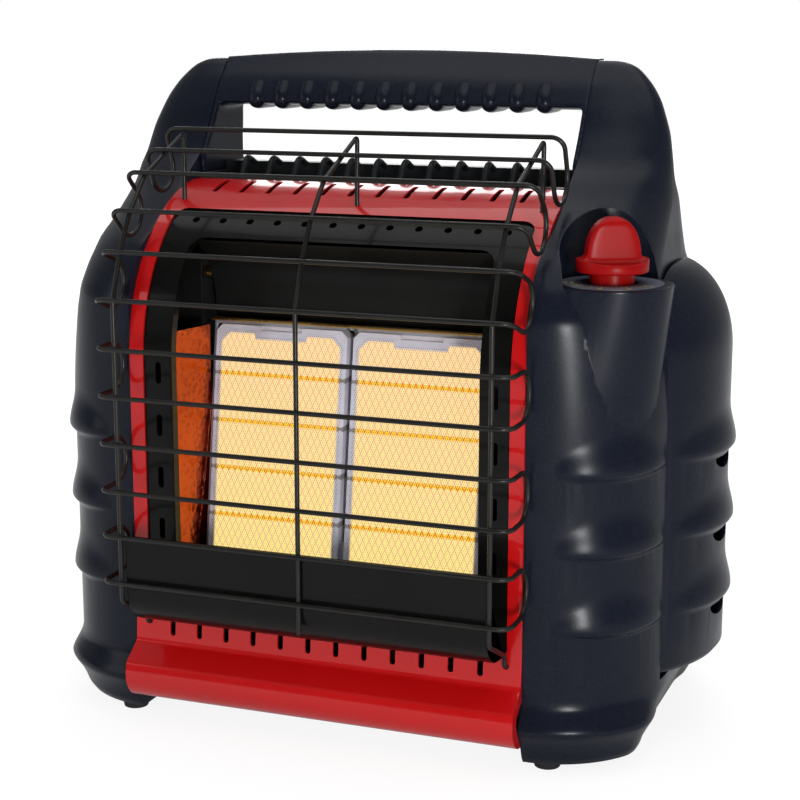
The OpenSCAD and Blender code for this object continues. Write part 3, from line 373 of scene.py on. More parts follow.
def paths(name, routes, closed=False):
    """Edge paths through points in millimetres."""
    points, edges = [], []
    for route in routes:
        first = len(points)
        points += (np.asarray(route, float) * MM).tolist()
        edges += [(i, i + 1) for i in range(first, len(points) - 1)]
        if closed:
            edges.append((len(points) - 1, first))
    return mesh_object(name, points, edges)


def wires(name, routes, radius, slot, sides=20, closed=False):
    """Round bars along routes in millimetres, of one radius in metres."""
    return grown(paths(name, routes, closed), wire_tree(), Radius=radius, Sides=sides,
                 Material=material_of(slot))


# ---- shader effects ----------------------------------------------------------------


class Nodes:
    """Adds nodes to one tree and joins them up."""

    def __init__(self, tree):
        self.tree = tree

    def feed(self, socket, value):
        if isinstance(value, bpy.types.NodeSocket):
            self.tree.links.new(value, socket)
        else:
            socket.default_value = value

    def add(self, kind, inputs=None, **settings):
        node = self.tree.nodes.new(kind)
        for key, value in settings.items():
            setattr(node, key, value)
        for key, value in (inputs or {}).items():
            self.feed(node.inputs[key], value)
        return node

    def made(self, kind, inputs=None, **settings):
        """First output of a new node."""
        return self.add(kind, inputs, **settings).outputs[0]

    def math(self, operation, *values, clamp=False):
        return self.made("ShaderNodeMath", dict(enumerate(values)), operation=operation, use_clamp=clamp)

    def mix(self, factor, a, b):
        a, b = ((*c, 1) if isinstance(c, tuple) else c for c in (a, b))
        return self.add("ShaderNodeMix", {0: factor, 6: a, 7: b}, data_type="RGBA").outputs[2]

    def ramp(self, value, low, high, to_low=0.0, to_high=1.0):
        ends = {"From Min": low, "From Max": high, "To Min": to_low, "To Max": to_high}
        return self.made("ShaderNodeMapRange", {"Value": value, **ends}, interpolation_type="SMOOTHSTEP")

    def noise(self, size, detail, roughness=0.5):
        """Noise with features of about one size in metres."""
        scale = self.math("DIVIDE", 1.0, size)
        return self.add("ShaderNodeTexNoise", {"Vector": self.place(), "Scale": scale, "Detail": detail,
                                               "Roughness": roughness}).outputs

    def bump(self, depth, height):
        return self.made("ShaderNodeBump", {"Strength": 1.0, "Distance": depth, "Height": height})

    def effect(self, group, **values):
        node = self.add("ShaderNodeGroup", node_tree=group())
        for key, value in values.items():
            self.feed(node.inputs[key.replace("_", " ").title()], value)
        return node.outputs

    def place(self):
        return self.add("ShaderNodeTexCoord").outputs["Object"]


def shader_group(name, inputs, outputs, build):
    if name in bpy.data.node_groups:
        return bpy.data.node_groups[name]
    group = bpy.data.node_groups.new(name, "ShaderNodeTree")
    for label, value in inputs:
        socket = group.interface.new_socket(label, in_out="INPUT", socket_type="NodeSocketFloat")
        socket.default_value = value
    for label, kind in outputs:
        group.interface.new_socket(label, in_out="OUTPUT", socket_type="NodeSocket" + kind)
    n = Nodes(group)
    build(n, n.add("NodeGroupInput").outputs, n.add("NodeGroupOutput").inputs)
    return group


def moulded_grain():
    """Fine bumps, as in a moulding from a textured tool."""

    def build(n, given, out):
        bumps = n.noise(given["Grain Size"], 2.0, 0.6)[0]
        n.feed(out["Normal"], n.bump(given["Depth"], bumps))
        # lighter where the bumps stand highest: the mask for painted glints
        n.feed(out["Speckle"], n.ramp(bumps, 0.5, 0.72))

    return shader_group("Moulded grain", [("Grain Size", 0.001), ("Depth", 3e-5)],
                        [("Normal", "Vector"), ("Speckle", "Float")], build)


def uneven_finish():
    """Slow change over the surface, from 0 to 1."""

    def build(n, given, out):
        n.feed(out["Mask"], n.ramp(n.noise(given["Patch Size"], 4.0, 0.55)[0], 0.32, 0.68))

    return shader_group("Uneven finish", [("Patch Size", 0.04)], [("Mask", "Float")], build)


def hammered_sheet():
    """Dimples beaten into sheet metal."""

    def build(n, given, out):
        wobble = n.noise(given["Dimple Size"], 1.0)["Color"]
        place = n.add("ShaderNodeMix", {0: 0.004, 4: n.place(), 5: wobble}, data_type="VECTOR").outputs[1]
        cells = n.made("ShaderNodeTexVoronoi", {
            "Vector": place, "Scale": n.math("DIVIDE", 1.0, given["Dimple Size"]), "Smoothness": 0.6,
        }, feature="SMOOTH_F1")
        n.feed(out["Normal"], n.bump(given["Depth"], cells))
        n.feed(out["Dimple"], n.ramp(cells, 0.1, 0.6))

    return shader_group("Hammered sheet", [("Dimple Size", 0.006), ("Depth", 0.0006)],
                        [("Normal", "Vector"), ("Dimple", "Float")], build)


def perforated_plaque():
    """Lattice, holes, painted shadows of the guard wires and lit area of one ceramic plaque, by its own
    width and height.
    """

    def build(n, given, out):
        add, less, times, over, most, size = (partial(n.math, kind) for kind in (
            "ADD", "SUBTRACT", "MULTIPLY", "DIVIDE", "MAXIMUM", "ABSOLUTE"))

        def saw(value, shift):
            """Repeating ramp from -0.5 to 0.5, moved along by shift."""
            return less(n.math("FRACT", add(value, shift)), 0.5)

        def falling(value, low, high, top=1.0):
            return n.ramp(value, low, high, top, 0.0)

        at = n.add("ShaderNodeSeparateXYZ", {0: n.place()}).outputs
        u = less(size(at[0]), given["Centre"])
        v = over(less(at[2], given["Foot"]), given["Lean Cosine"])
        across, up = over(u, given["Cell Width"]), over(v, given["Cell Height"])
        ridges, holes = [], []
        for way in (add(across, up), less(across, up)):
            ridges.append(size(saw(way, 100.0)))
            step = saw(times(way, 3.0), 100.5)
            holes.append(times(step, step))
        hole = falling(n.math("SQRT", add(*holes)), 0.16, 0.34)
        # distance outside the lit area, with cut corners and a step under the clip at the top
        clip = falling(size(u), 0.0175, 0.0185, 0.0036)
        side = less(size(u), less(times(given["Width"], 0.5), 0.0041))
        end = most(less(add(v, clip), less(given["Height"], 0.005)), less(0.0006, v))
        corner = add(times(add(side, end), 0.7071), 0.0042)
        outside = most(most(side, end), corner)
        # painted shadows of the guard wires: bands with toothed edges, left out near the two ends
        shadow_offset = times(saw(over(v, given["Band Pitch"]), 0.5), given["Band Pitch"])
        teeth = times(size(saw(across, 100.0)), 0.0022)
        half = times(given["Height"], 0.5)
        inside_ends = n.math("LESS_THAN", size(less(v, half)), less(half, 0.008))
        wire_shadow = falling(add(size(shadow_offset), teeth), 0.0015, 0.0022)
        n.feed(out["Ridge"], n.ramp(most(*ridges), 0.36, 0.47))
        n.feed(out["Hole"], times(hole, falling(outside, 0.0014, 0.0022)))
        n.feed(out["Band"], times(wire_shadow, inside_ends))
        n.feed(out["Lit"], falling(outside, -0.0012, 0.0006))
        n.feed(out["Rise"], over(v, given["Height"]))

    return shader_group("Perforated plaque", [
        ("Centre", 0.048), ("Foot", 0.104), ("Lean Cosine", cos(radians(7.9))), ("Width", 0.092),
        ("Height", 0.155), ("Cell Width", 0.0044), ("Cell Height", 0.0092), ("Band Pitch", 0.0308)],
        [(label, "Float") for label in ("Ridge", "Hole", "Band", "Lit", "Rise")], build)


# ---- finishes ----------------------------------------------------------------------


def new_material(name):
    material = bpy.data.materials.new(name)
    material.use_nodes = True
    return material, Nodes(material.node_tree), material.node_tree.nodes["Principled BSDF"].inputs


def shaded(c, k):
    return tuple(min(1.0, x * k) for x in c)


def finish(name, base, rough, spread, metallic=0.0, grain=0.001, depth=1e-5, patch=0.05, vary=0.06,
           coat=0.0, coat_rough=0.05, specular=0.5, speckle=0.0, hammered=False, second=None):
    """A finish with grain, slow changes of shade and uneven gloss."""
    if name in bpy.data.materials:
        return bpy.data.materials[name]
    base = tuple(getattr(colours(), base)) if isinstance(base, str) else linear(*base)
    material, n, shader = new_material(name)
    mask = n.effect(uneven_finish, patch_size=patch)["Mask"]
    if hammered:
        bumps = n.effect(hammered_sheet, dimple_size=grain, depth=depth)
    else:
        bumps = n.effect(moulded_grain, grain_size=grain, depth=depth)
    tint = n.mix(mask, shaded(base, 1 - vary), linear(*second) if second else shaded(base, 1 + vary))
    # painted glints: lighter specks on the high grain, and on the dimple pattern of hammered sheet
    if speckle:
        light = tuple(min(1, x * 3 + 0.02) for x in base)
        tint = n.mix(n.math("MULTIPLY", bumps[1], speckle), tint, light)
    n.feed(shader["Base Color"], tint)
    n.feed(shader["Roughness"], n.ramp(mask, 0.0, 1.0, max(0.02, rough - spread / 2), rough + spread / 2))
    n.feed(shader["Normal"], bumps["Normal"])
    for label, value in (("Metallic", metallic), ("Specular IOR Level", specular), ("Coat Weight", coat),
                         ("Coat Roughness", coat_rough)):
        shader[label].default_value = value
    return material


def plaque_finish():
    if "Lit ceramic" in bpy.data.materials:
        return bpy.data.materials["Lit ceramic"]
    c = colours()
    material, n, shader = new_material("Lit ceramic")
    look = n.effect(perforated_plaque)
    wear = n.effect(uneven_finish, patch_size=0.02)["Mask"]
    # lit cells and lattice: the plaques' own glow with the front light painted on it, changing towards the
    # top
    cell = n.mix(look["Rise"], tuple(c.glow), linear(255, 226, 166))
    lit = n.mix(look["Ridge"], cell, tuple(c.glow_ridge))
    lit = n.mix(n.math("MULTIPLY", look["Hole"], 0.6), lit, linear(176, 140, 80))
    # in the painted shadows of the guard wires: plain orange glow without the painted front light
    hot = n.mix(look["Ridge"], linear(255, 208, 64), tuple(c.glow_band))
    hot = n.mix(n.math("MULTIPLY", look["Hole"], 0.8), hot, linear(120, 40, 10))
    lit = n.mix(look["Band"], lit, hot)
    n.feed(shader["Emission Color"], n.mix(look["Lit"], (0.0, 0.0, 0.0), lit))
    shader["Emission Strength"].default_value = 1.0
    rim = n.mix(wear, tuple(c.ceramic), shaded(c.ceramic, 0.88))
    # painted shadows of the guard wires on the unlit rim
    rim = n.mix(n.math("MULTIPLY", look["Band"], 0.75), rim, linear(96, 92, 74))
    # painted shade inside the perforations of the unlit rim
    rim = n.mix(n.math("MULTIPLY", look["Hole"], 0.7), rim, linear(60, 60, 72))
    n.feed(shader["Base Color"], n.mix(look["Lit"], rim, linear(40, 24, 12)))
    n.feed(shader["Normal"], n.effect(moulded_grain, grain_size=0.0006, depth=2e-5)["Normal"])
    shader["Roughness"].default_value = 0.85
    return material


# By material slot: name, base colour (screen values, or one of the panel's colours), roughness, its spread
FINISHES = {
    "red_enamel": ("Red enamel", "red", 0.3, 0.05, dict(
        grain=0.004, depth=8e-6, vary=0.03, coat=0.6, coat_rough=0.04, specular=0.2)),
    "red_knob": ("Red knob plastic", "knob", 0.38, 0.08, dict(
        grain=0.0006, depth=4e-6, vary=0.04, specular=0.12)),
    "red_switch": ("Red switch plastic", "knob", 0.3, 0.06, dict(grain=0.0006, depth=3e-6)),
    "black_enamel": ("Black enamel", "black", 0.28, 0.08, dict(
        grain=0.003, vary=0.12, coat=0.1, coat_rough=0.06, specular=0.12)),
    "hood_black": ("Hood enamel", "black", 0.5, 0.1, dict(grain=0.003, vary=0.12, specular=0.3)),
    "navy_plastic": ("Navy plastic", "navy", 0.27, 0.05, dict(
        grain=0.0011, depth=2.2e-5, vary=0.05, specular=0.15, speckle=0.2)),
    "black_plastic": ("Black plastic", (24, 26, 28), 0.42, 0.08, dict(
        grain=0.0009, depth=2e-5, vary=0.05, specular=0.22, speckle=0.2)),
    "grey_plastic": ("Grey plastic", (62, 64, 66), 0.5, 0.08, dict(grain=0.0009, depth=2e-5)),
    "porcelain": ("Porcelain", (226, 222, 210), 0.25, 0.08, dict(
        grain=0.002, depth=5e-6, vary=0.03, coat=0.5)),
    # orange base colour and its mottling paint the glowing plaques' reflection in the hammered sheet
    "hot_steel": ("Hammered steel", (168, 72, 40), 0.16, 0.1, dict(
        metallic=1.0, grain=0.0036, depth=3e-4, vary=0.2, speckle=0.2, hammered=True,
        second=(184, 82, 46))),
    "frame_steel": ("Frame steel", (168, 172, 184), 0.45, 0.1, dict(metallic=0.6)),
    "zinc_sheet": ("Zinc sheet", (150, 154, 158), 0.4, 0.2, dict(
        metallic=1.0, grain=0.006, depth=6e-6, patch=0.012, vary=0.18)),
    "zinc_casting": ("Zinc casting", (150, 152, 154), 0.5, 0.12, dict(
        metallic=1.0, grain=0.0012, depth=4e-5)),
    "brass": ("Brass", "brass", 0.28, 0.12, dict(metallic=1.0, grain=0.002, depth=5e-6, vary=0.12)),
    "tube_steel": ("Drawn tube", (150, 150, 152), 0.3, 0.1, dict(metallic=1.0, grain=0.0015, depth=6e-6)),
    "bright_steel": ("Bright steel", (190, 190, 192), 0.22, 0.1, dict(metallic=1.0, depth=4e-6)),
    "black_wire": ("Painted wire", "wire", 0.36, 0.12, dict(
        grain=0.0012, depth=1.5e-5, vary=0.15, patch=0.02, specular=0.35)),
    "rubber_feet": ("Rubber", (26, 26, 27), 0.75, 0.1, dict(grain=0.0008, depth=3e-5)),
    "dial_face": ("Dial face", (88, 93, 106), 0.45, 0.08, {}),
    "dial_mark": ("Dial print", (214, 188, 70), 0.5, 0.05, dict(depth=2e-6)),
}


def material_of(slot):
    if slot == "ceramic":
        return plaque_finish()
    *numbers, rest = FINISHES[slot]
    return finish(*numbers, **rest)


# ---- outlines shared by the casing -------------------------------------------------

PANEL_X = 131.0
ARCH = (0.0, 238.0)
ARCH_R = 109.0
ROLL, ROLL_R = (-108.8, 34.5), 18.0
LEAN = radians(7.9)
FOOT = (-80.0, 104.0)
RIDGES = (91.0, 139.5, 188.0)
TOWER = 426.0
KNOB = (170.0, -65.0)
PLATFORM = 297.5
# Width of the bezel's turned-in lip
LIP = 6.5
# Hollow in the tower round the knob: radius, and how far it narrows and leans back per mm of height
RECESS_R, RECESS_TAPER, RECESS_LEAN = 37.5, 0.23, 0.2
DOOR = (134.0, 16.0)
DOOR_R = 93.2
HINGE = (202.6, 81.0)
REAR = 130.0
# Thickness of the black sheets
BLACK_SHEET = 1.2
# The guard's three uprights along x, and y of the holes that they end in
LEG_XS, LEG_Y = (-121.4, 0, 121.4), -46.5
# Height of the row of slots along the panel's foot
FOOT_ROW = 64.2
# Radius of the hole that the knob's sleeve runs in, and heights of the rear cover's screws
SLEEVE_HOLE = 15.6
TAB_ZS = (40, 170, 270)
# In metres, and more than any sheet has room for: the edge is rounded as far as the sheet lets it
FULL_EDGE = 0.35


def leaned(y, z):
    """Point of the burner's leaning frame as (y, z)."""
    return (FOOT[0] + y * cos(LEAN) + z * sin(LEAN), FOOT[1] + z * cos(LEAN) - y * sin(LEAN))


def slot_xs():
    return [(i - (sizes().slots - 1) / 2) * sizes().slot_pitch / MM for i in range(sizes().slots)]


def foot_slots():
    return [prism("slot", stadium((x, FOOT_ROW), 3.8, 10.5), 1, -115, -102) for x in slot_xs()]


class HEATER_OT_front_panel(bpy.types.Operator):
    """Red enamelled front panel with its rolled foot, rounded shoulder and two rows of slots"""

    bl_idname = "heater.front_panel"
    bl_label = "Front panel"

    def execute(self, context):
        t = sizes().sheet / MM
        path = np.vstack([[(ROLL[0] + 18, ROLL[1] - ROLL_R)], arc(ROLL, ROLL_R, 270, 158, 40),
                          softened([(-124.6, 43.5), (-110.4, 53.5), (-109, 72)], 2.5),
                          arc(ARCH, ARCH_R, 180, 95, 90)])
        ob = sheet("red_front_panel", path, t, -PANEL_X, PANEL_X)
        top = ARCH[1] + ARCH_R * sin(radians(121))
        cut(ob, prism("opening", rounded_box(-121.5, 121.5, 72, top, (5, 5), (9, 5.5)), 1, -125, -50))
        flange = sheet("flange", path, 8, PANEL_X - t, PANEL_X)
        join(ob, doubled(flange))
        shoulder = [prism("slot", stadium((x, -25.5), 3.8, 23), 2, 320, 360) for x in slot_xs()]
        legs = [disc((x, LEG_Y), 1.7, 2, 320, 350, 24) for x in LEG_XS]
        hooks = [disc((x, 67), 1.7, 1, -115, -102, 24) for x in LEG_XS[::2]]
        cut(ob, *foot_slots(), *shoulder, *legs, *hooks)
        placed(edged(ob, sizes().sheet_edge, 50), "front_panel")
        return {"FINISHED"}


class HEATER_OT_bezel(bpy.types.Operator):
    """Black enamelled bezel with a turned-in lip, round holes and side slots"""

    bl_idname = "heater.bezel"
    bl_label = "Burner bezel"

    def execute(self, context):
        radius = ARCH_R - 1.7
        path = np.vstack([[(-radius, 73.5)], arc(ARCH, radius, 180, 117, 70)])
        top = ARCH[1] + radius * sin(radians(134))

        def opening(grow):
            half, corner = 102 + grow, (11 + grow, 8 + grow)
            outline = rounded_box(-half, half, 60, top + grow * 0.7, (1, 1), corner)
            return prism("opening", outline, 1, -125, -50)

        ob = sheet("black_bezel", path, BLACK_SHEET, -127, 127)
        cut(ob, opening(0))
        lip = sheet("lip", path, LIP, -103.2, 103.2)
        lip = cut(keep(lip, opening(BLACK_SHEET)), opening(0), block((-101, -130, 60), (101, -40, 106)))
        join(ob, lip)
        holes = [prism("hole", stadium((s * 111.7, z), 4, 14), 1, -120, -98)
                 for s in (-1, 1) for z in (130, 164, 198, 232)]
        turn = radians(36)
        for x in slot_xs():
            hole = disc((x, 0), 2.5, 2, ARCH_R - 8, ARCH_R + 8, 32)
            for v in hole.data.vertices:
                y, z = v.co.y, v.co.z
                v.co.y, v.co.z = y * cos(turn) - z * sin(turn), y * sin(turn) + z * cos(turn) + ARCH[1] * MM
            holes.append(hole)
        cut(ob, *holes)
        placed(edged(ob, FULL_EDGE, 50), "burner_bezel")
        return {"FINISHED"}


class HEATER_OT_hearth(bpy.types.Operator):
    """Black plate across the foot of the burner, curled under, and the hood over the plaques"""

    bl_idname = "heater.hearth"
    bl_label = "Hearth plate and hood"

    def execute(self, context):
        front = -142.8
        tail = sheet("black_hearth_plate", [(-107.5, 63), (-107.5, 72)], BLACK_SHEET, -110, 110)
        bow = arc((front + 26, 99), 26, 256, 180, 40)
        curl = np.vstack([[(-107.5, 72), (-113, 72.5)], bow, [(front, 134)]])
        plate = sheet("plate", curl, BLACK_SHEET, -119, 119)
        keep(plate, prism("outline", rounded_box(-119, 119, 60, 134, (1, 1), (5, 5)), 1, -150, -100))
        join(tail, plate)
        cut(tail, *foot_slots())
        placed(edged(tail, FULL_EDGE, 50), "hearth_plate")
        lip_r = ARCH_R - LIP - 0.7
        lip = (ARCH[0] + lip_r * cos(radians(133.3)), ARCH[1] + lip_r * sin(radians(133.3)))
        bend = leaned(13.2, 174.1)
        middle = ((bend[0] + lip[0]) / 2 + 3, (bend[1] + lip[1]) / 2 + 5)
        path = softened([leaned(33.2, 156.1), leaned(15.2, 156.1), bend, middle, lip], 9, 8)
        hood = sheet("black_hood", path, BLACK_SHEET, -102, 102)
        placed(edged(hood, FULL_EDGE, 50), "reflector_hood", finish="hood_black")
        return {"FINISHED"}


class HEATER_OT_burner(bpy.types.Operator):
    """Ceramic plaques, their frame, the hammered side sheets and the brass trim"""

    bl_idname = "heater.burner"
    bl_label = "Burner"

    def execute(self, context):
        for node in ("left_plaque", "right_plaque"):
            dressed(node, 0.7 * MM, segments=3)
        for node in ("left_reflector", "right_reflector"):
            dressed(node, 0.3 * MM)
        dressed("trim_strip", 0.5 * MM)
        dressed("burner_frame", 0.3 * MM, finish="frame_steel")
        dressed("burner_box", 0.25 * MM, finish="hood_black")
        for node in ("burner_deck", "burner_brackets", "pilot_bracket", "pilot_burner",
                     "ignition_electrode", "thermocouple"):
            dressed(node, 0.25 * MM)
        return {"FINISHED"}


# The guard's loops from top to bottom: y, z and tilt in degrees
LOOPS = ((-60.5, 375.5, 66.8), (-112, 346.5, 43.5), (-141.8, 297.5, 20.1), (-147, 237.7, 0),
         (-147, 177.6, 0), (-147, 118.5, 0))
# Half the distance between a loop's two long wires, and how far the uprights stand behind them
LOOP_R, BEHIND = 15, 2.6


def loop_route(y, z, tilt):
    """One closed wire loop: two long wires joined by a backward U at each end."""
    half, bend, depth, r = 126, 8, 20.5, LOOP_R
    corner = np.radians(np.linspace(0, 90, 9))
    turn = np.radians(np.linspace(90, -90, 25))
    side = [(half + bend * sin(a), bend * (1 - cos(a)), r) for a in corner]
    side += [(half + bend, depth + r * cos(a), r * sin(a)) for a in turn]
    side += [(half + bend * sin(a), bend * (1 - cos(a)), -r) for a in corner[::-1]]
    points = np.array(side + [(-x, b, c) for x, b, c in side[::-1]])
    c, s = cos(radians(tilt)), sin(radians(tilt))
    x, out, up = points.T
    return np.stack([x, y + out * c + up * s, z - out * s + up * c], 1)


def upright_route(x, hooked):
    """Wire that runs up behind the loops and down to its leg hole."""
    behind = []
    for y, z, tilt in LOOPS[::-1]:
        c, s = cos(radians(tilt)), sin(radians(tilt))
        for way in (-1, 1):
            behind.append((y + way * s * LOOP_R + BEHIND * c, z + way * c * LOOP_R - BEHIND * s))
    foot = behind[0][0]
    hook = [(-105, 67), (-112.5, 67), (-112.5, 75), (foot, 91)] if hooked else [(foot, 84)]
    leg = ARCH[1] + sqrt(ARCH_R ** 2 - LEG_Y ** 2) - 4
    route = softened(hook + [behind[i] for i in (6, 7, 8, 9, 11)] + [(LEG_Y, leg)], 4, 8)
    return np.insert(route, 0, x, axis=1)


class HEATER_OT_guard(bpy.types.Operator):
    """Welded wire guard: six closed loops and three uprights"""

    bl_idname = "heater.guard"
    bl_label = "Wire guard"

    def execute(self, context):
        radius = sizes().wire_radius
        loops = [loop_route(*loop) for loop in LOOPS]
        placed(wires("guard_wire_loops", loops, radius, "black_wire", closed=True), "guard_loops")
        uprights = [upright_route(x, x != 0) for x in LEG_XS]
        placed(wires("guard_wire_uprights", uprights, radius, "black_wire"), "guard_uprights")
        return {"FINISHED"}


# ---- side housings -----------------------------------------------------------------


def table(pairs, spread=7.0):
    """Smoothed reading of a table of (height, value)."""
    xs, ys = np.array(pairs, float).T

    def read(z):
        z = np.asarray(z, float)
        reach = np.clip((TOWER + 3 - z) * 0.35, 1.0, spread)
        weights = ((-1, 1), (-0.6, 2), (-0.25, 3), (0, 3), (0.25, 3), (0.6, 2), (1, 1))
        return sum(w * np.interp(z + s * reach, xs, ys) for s, w in weights) / 15

    return read


# By height: how far the skirt stands out at the front corner and at the side, how far the tower draws in,
# where its front and back lie, and how deep its rounded corners are
skirt_front = table([(5, -5), (8, -2), (14, 0), (20, 3), (28, 8.5), (32, 7), (41, 1), (46, 0)], 2.5)
skirt_side = table([(5, -16), (14, -13), (20, -9), (28, -5), (34, -3), (41, 0)], 2.5)
draw_in = table([(215, 0), (235, 1.5), (260, 4.5), (280, 8.5), (300, 13), (320, 15.5), (340, 16.5),
                 (360, 19), (380, 22.5), (400, 30), (410, 36.5), (420, 46.5), (424, 55), (426, 65)])
front_y = table([(280, -108.5), (296, -101), (311, -87.6), (320, -71.5), (332, -50.3), (343, -30.9),
                 (354, -17.9), (362, -4.4), (381, 9.2), (394, 16.6), (411, 27.4), (424, 39.8),
                 (426, 46)], 5)
back_y = table([(280, 139), (300, 129), (320, 113), (340, 88), (352, 66), (362, 59), (400, 59), (410, 60),
                (420, 58), (426, 55)])
front_round = table([(300, 75), (320, 72), (340, 56), (362, 30), (380, 22), (400, 17), (410, 14), (420, 8),
                     (426, 4)])
back_round = table([(280, 75), (300, 100), (320, 82), (340, 58), (352, 42), (362, 32), (380, 27), (400, 21),
                    (410, 18), (420, 12), (426, 4)])


def smooth(x):
    x = np.clip(x, 0, 1)
    return x * x * (3 - 2 * x)


def ridge(z, span):
    """Rise of the leaf-shaped ridges: gentle above the crest, undercut below it."""
    rise = np.zeros(np.broadcast(z, span).shape)
    for crest in RIDGES:
        above = 1 - smooth((z - crest) / (10 + 18 * span))
        below = smooth((z - crest + 1 + 6 * span) / (1 + 6 * span))
        rise = np.maximum(rise, np.where(z > crest, above, below) * np.where(z > crest, above ** 0.3, 1))
    return sizes().ridge_rise / MM * rise * span ** 0.8


def housing_ring(z, inset, ridged, steps):
    """The housing's outline at one height: round its front corner, then its back one."""
    t = np.linspace(0, 90, steps + 1)
    s, c = np.sin(np.radians(t)), np.cos(np.radians(t))
    reads = z + inset if z > 215 else z
    a = 73 - draw_in(reads) - inset
    y0, ry = front_y(reads) + inset, front_round(reads) - inset
    y1, rb = back_y(reads) - inset, back_round(reads) - inset
    u = smooth((t - 55) / 35)
    flare = skirt_front(reads) * (1 - u) + skirt_side(reads) * u
    k = flare + (ridge(np.full_like(t, z), np.clip(1 - ((t - 47) / 33) ** 2, 0, 1)) if ridged else 0)

    def run(out, y):
        return np.stack([np.maximum(PANEL_X + (a + out) * s, PANEL_X + inset), y, np.full_like(t, z)], 1)

    return np.vstack([run(k, y0 + ry - (ry + k) * c), run(flare, y1 - rb + (rb + flare) * c)[::-1]])


def levels(*spans):
    return np.concatenate([np.arange(a, b, step) for a, b, step in spans])


def pod(inset):
    """Upright drum under the knob."""
    rings = []
    foot, top = (161, -57.7), PLATFORM - inset
    for (x, y), r, z in ((foot, 34, 205), (foot, 34, 206), (KNOB, 37, top - 1), (KNOB, 37, top)):
        around = arc((x, y), r - inset, 0, 360, 96)[:-1]
        around[:, 0] = np.maximum(around[:, 0], PANEL_X + inset)
        rings.append(np.insert(around, 2, z, axis=1))
    return ring_stack("pod", rings)


def recess(wall):
    """Hollow behind the knob, open at the top."""
    rings = []
    for z in (PLATFORM - wall, 375.0):
        rise = max(z - PLATFORM, 0)
        centre, radius = (KNOB[0], KNOB[1] + RECESS_LEAN * rise), RECESS_R + wall - RECESS_TAPER * rise
        rings.append(np.insert(arc(centre, radius, 0, 360, 128)[:-1], 2, z, axis=1))
    return ring_stack("recess", rings)


def door_profile(inset):
    """The door's side outline as (radius, z)."""
    z = levels((55, 247, 2.0))
    straight = np.stack([np.full_like(z, DOOR_R - inset), z], 1)
    dome = arc((55, 247), (DOOR_R - inset - 55, 56 - inset), 0, 88, 32)
    return np.vstack([[(DOOR_R - inset - 3, 51)], straight, dome])


def door_wall(name, outer, inner, ridged):
    """Shell of the round door between two insets, or a solid wedge behind it where inner is None."""
    rings = []
    for a in np.linspace(-62, 62, 125):
        out = door_profile(outer)
        if ridged:
            span = np.full(len(out), np.clip(1 - (a / 40) ** 2, 0, 1))
            out[:, 0] += ridge(out[:, 1], span) * np.clip((out[:, 1] - 60) / 10, 0, 1)
        back = [(30, 303), (30, 51)] if inner is None else door_profile(inner)[::-1]
        section = np.vstack([out, back])
        c, s = cos(radians(a)), sin(radians(a))
        rings.append(np.stack([DOOR[0] + section[:, 0] * c, DOOR[1] + section[:, 0] * s, section[:, 1]], 1))
    return ring_stack(name, rings)


def knuckle_span(i):
    """Foot and top of one of the hinge's seven knuckles."""
    return 62 + i * 26, 62 + i * 26 + 25.6


def hinge_half(first, x, y):
    """Every other knuckle, and the leaves that join them to the moulding, between two x and two y."""
    spans = [knuckle_span(i) for i in range(first, 7, 2)]
    leaves = [block((x[0], y[0], low), (x[1], y[1], high)) for low, high in spans]
    return [disc(HINGE, 3.4, 2, low, high, 32) for low, high in spans], leaves


def housing(with_pod):
    wall = 3
    zs = levels((5, 50, 1.5), (50, 222, 1.25), (222, 400, 4), (400, 420, 2), (420, 425.9, 1))
    ob = ring_stack("housing", [housing_ring(z, 0, True, 45) for z in zs])
    if with_pod:
        join(ob, pod(0))
    inner_zs = levels((8, 50, 6), (50, 417, 9))
    cavity = ring_stack("cavity", [housing_ring(z, wall, False, 16) for z in inner_zs])
    if with_pod:
        join(cavity, pod(wall))
        cut(cavity, recess(wall))
    body = ob.data.copy()
    cut(ob, cavity)
    # the bottle bay's front, back, floor and ceiling
    walls = block((132, -48.5, 6), (220, -45.5, 300))
    join(walls, block((132, 85, 6), (220, 88, 300)), block((132, -48.5, 45), (220, 88, 48)),
         block((132, -48.5, 300), (220, 88, 303)))
    keep(walls, linked("inside", body))
    join(ob, walls)
    # the opening to the middle, the bay's mouth in two steps, the seat of the door and the feet's holes
    tools = [block((126, -39.5, 48), (135, 73, 297)), block((154, -48.5, 48), (240, 85, 277)),
             block((154, -30.5, 48), (240, 62, 294)),
             keep(door_wall("seat", -0.4, None, False), block((192.6, -48.5, 48), (240, 85, 308)))]
    tools += [disc((143.3, y), 3, 2, 0, 20, 24) for y in (-92, 121)]
    if with_pod:
        tools += [recess(0), disc(KNOB, SLEEVE_HOLE, 2, 290, 300, 64)]
    cut(ob, *tools)
    tabs = [block((121, 116.5, z - 6), (131.2, 128.5, z + 6)) for z in TAB_ZS]
    knuckles, leaves = hinge_half(0, (199.1, 203.1), (83, 86))
    join(ob, *tabs, *knuckles, *leaves)
    return ob


class HEATER_OT_housings(bpy.types.Operator):
    """Moulded side housings with scalloped ridges, flared skirt, bottle bay and knob pod"""

    bl_idname = "heater.housings"
    bl_label = "Side housings"

    def execute(self, context):
        for side in ("left", "right"):
            ob = housing(side == "right")
            ob.name = side + "_housing_moulding"
            edged(ob, sizes().moulding_edge, 48, 3, 38, level=False)
            placed(mirrored(ob) if side == "left" else ob, side + "_housing")
        return {"FINISHED"}


def half_moon(z):
    """Vent outline on the door as (y, z): flat on top, rounded below."""
    return arc((DOOR[1], z), (22, 9), 180, 360)


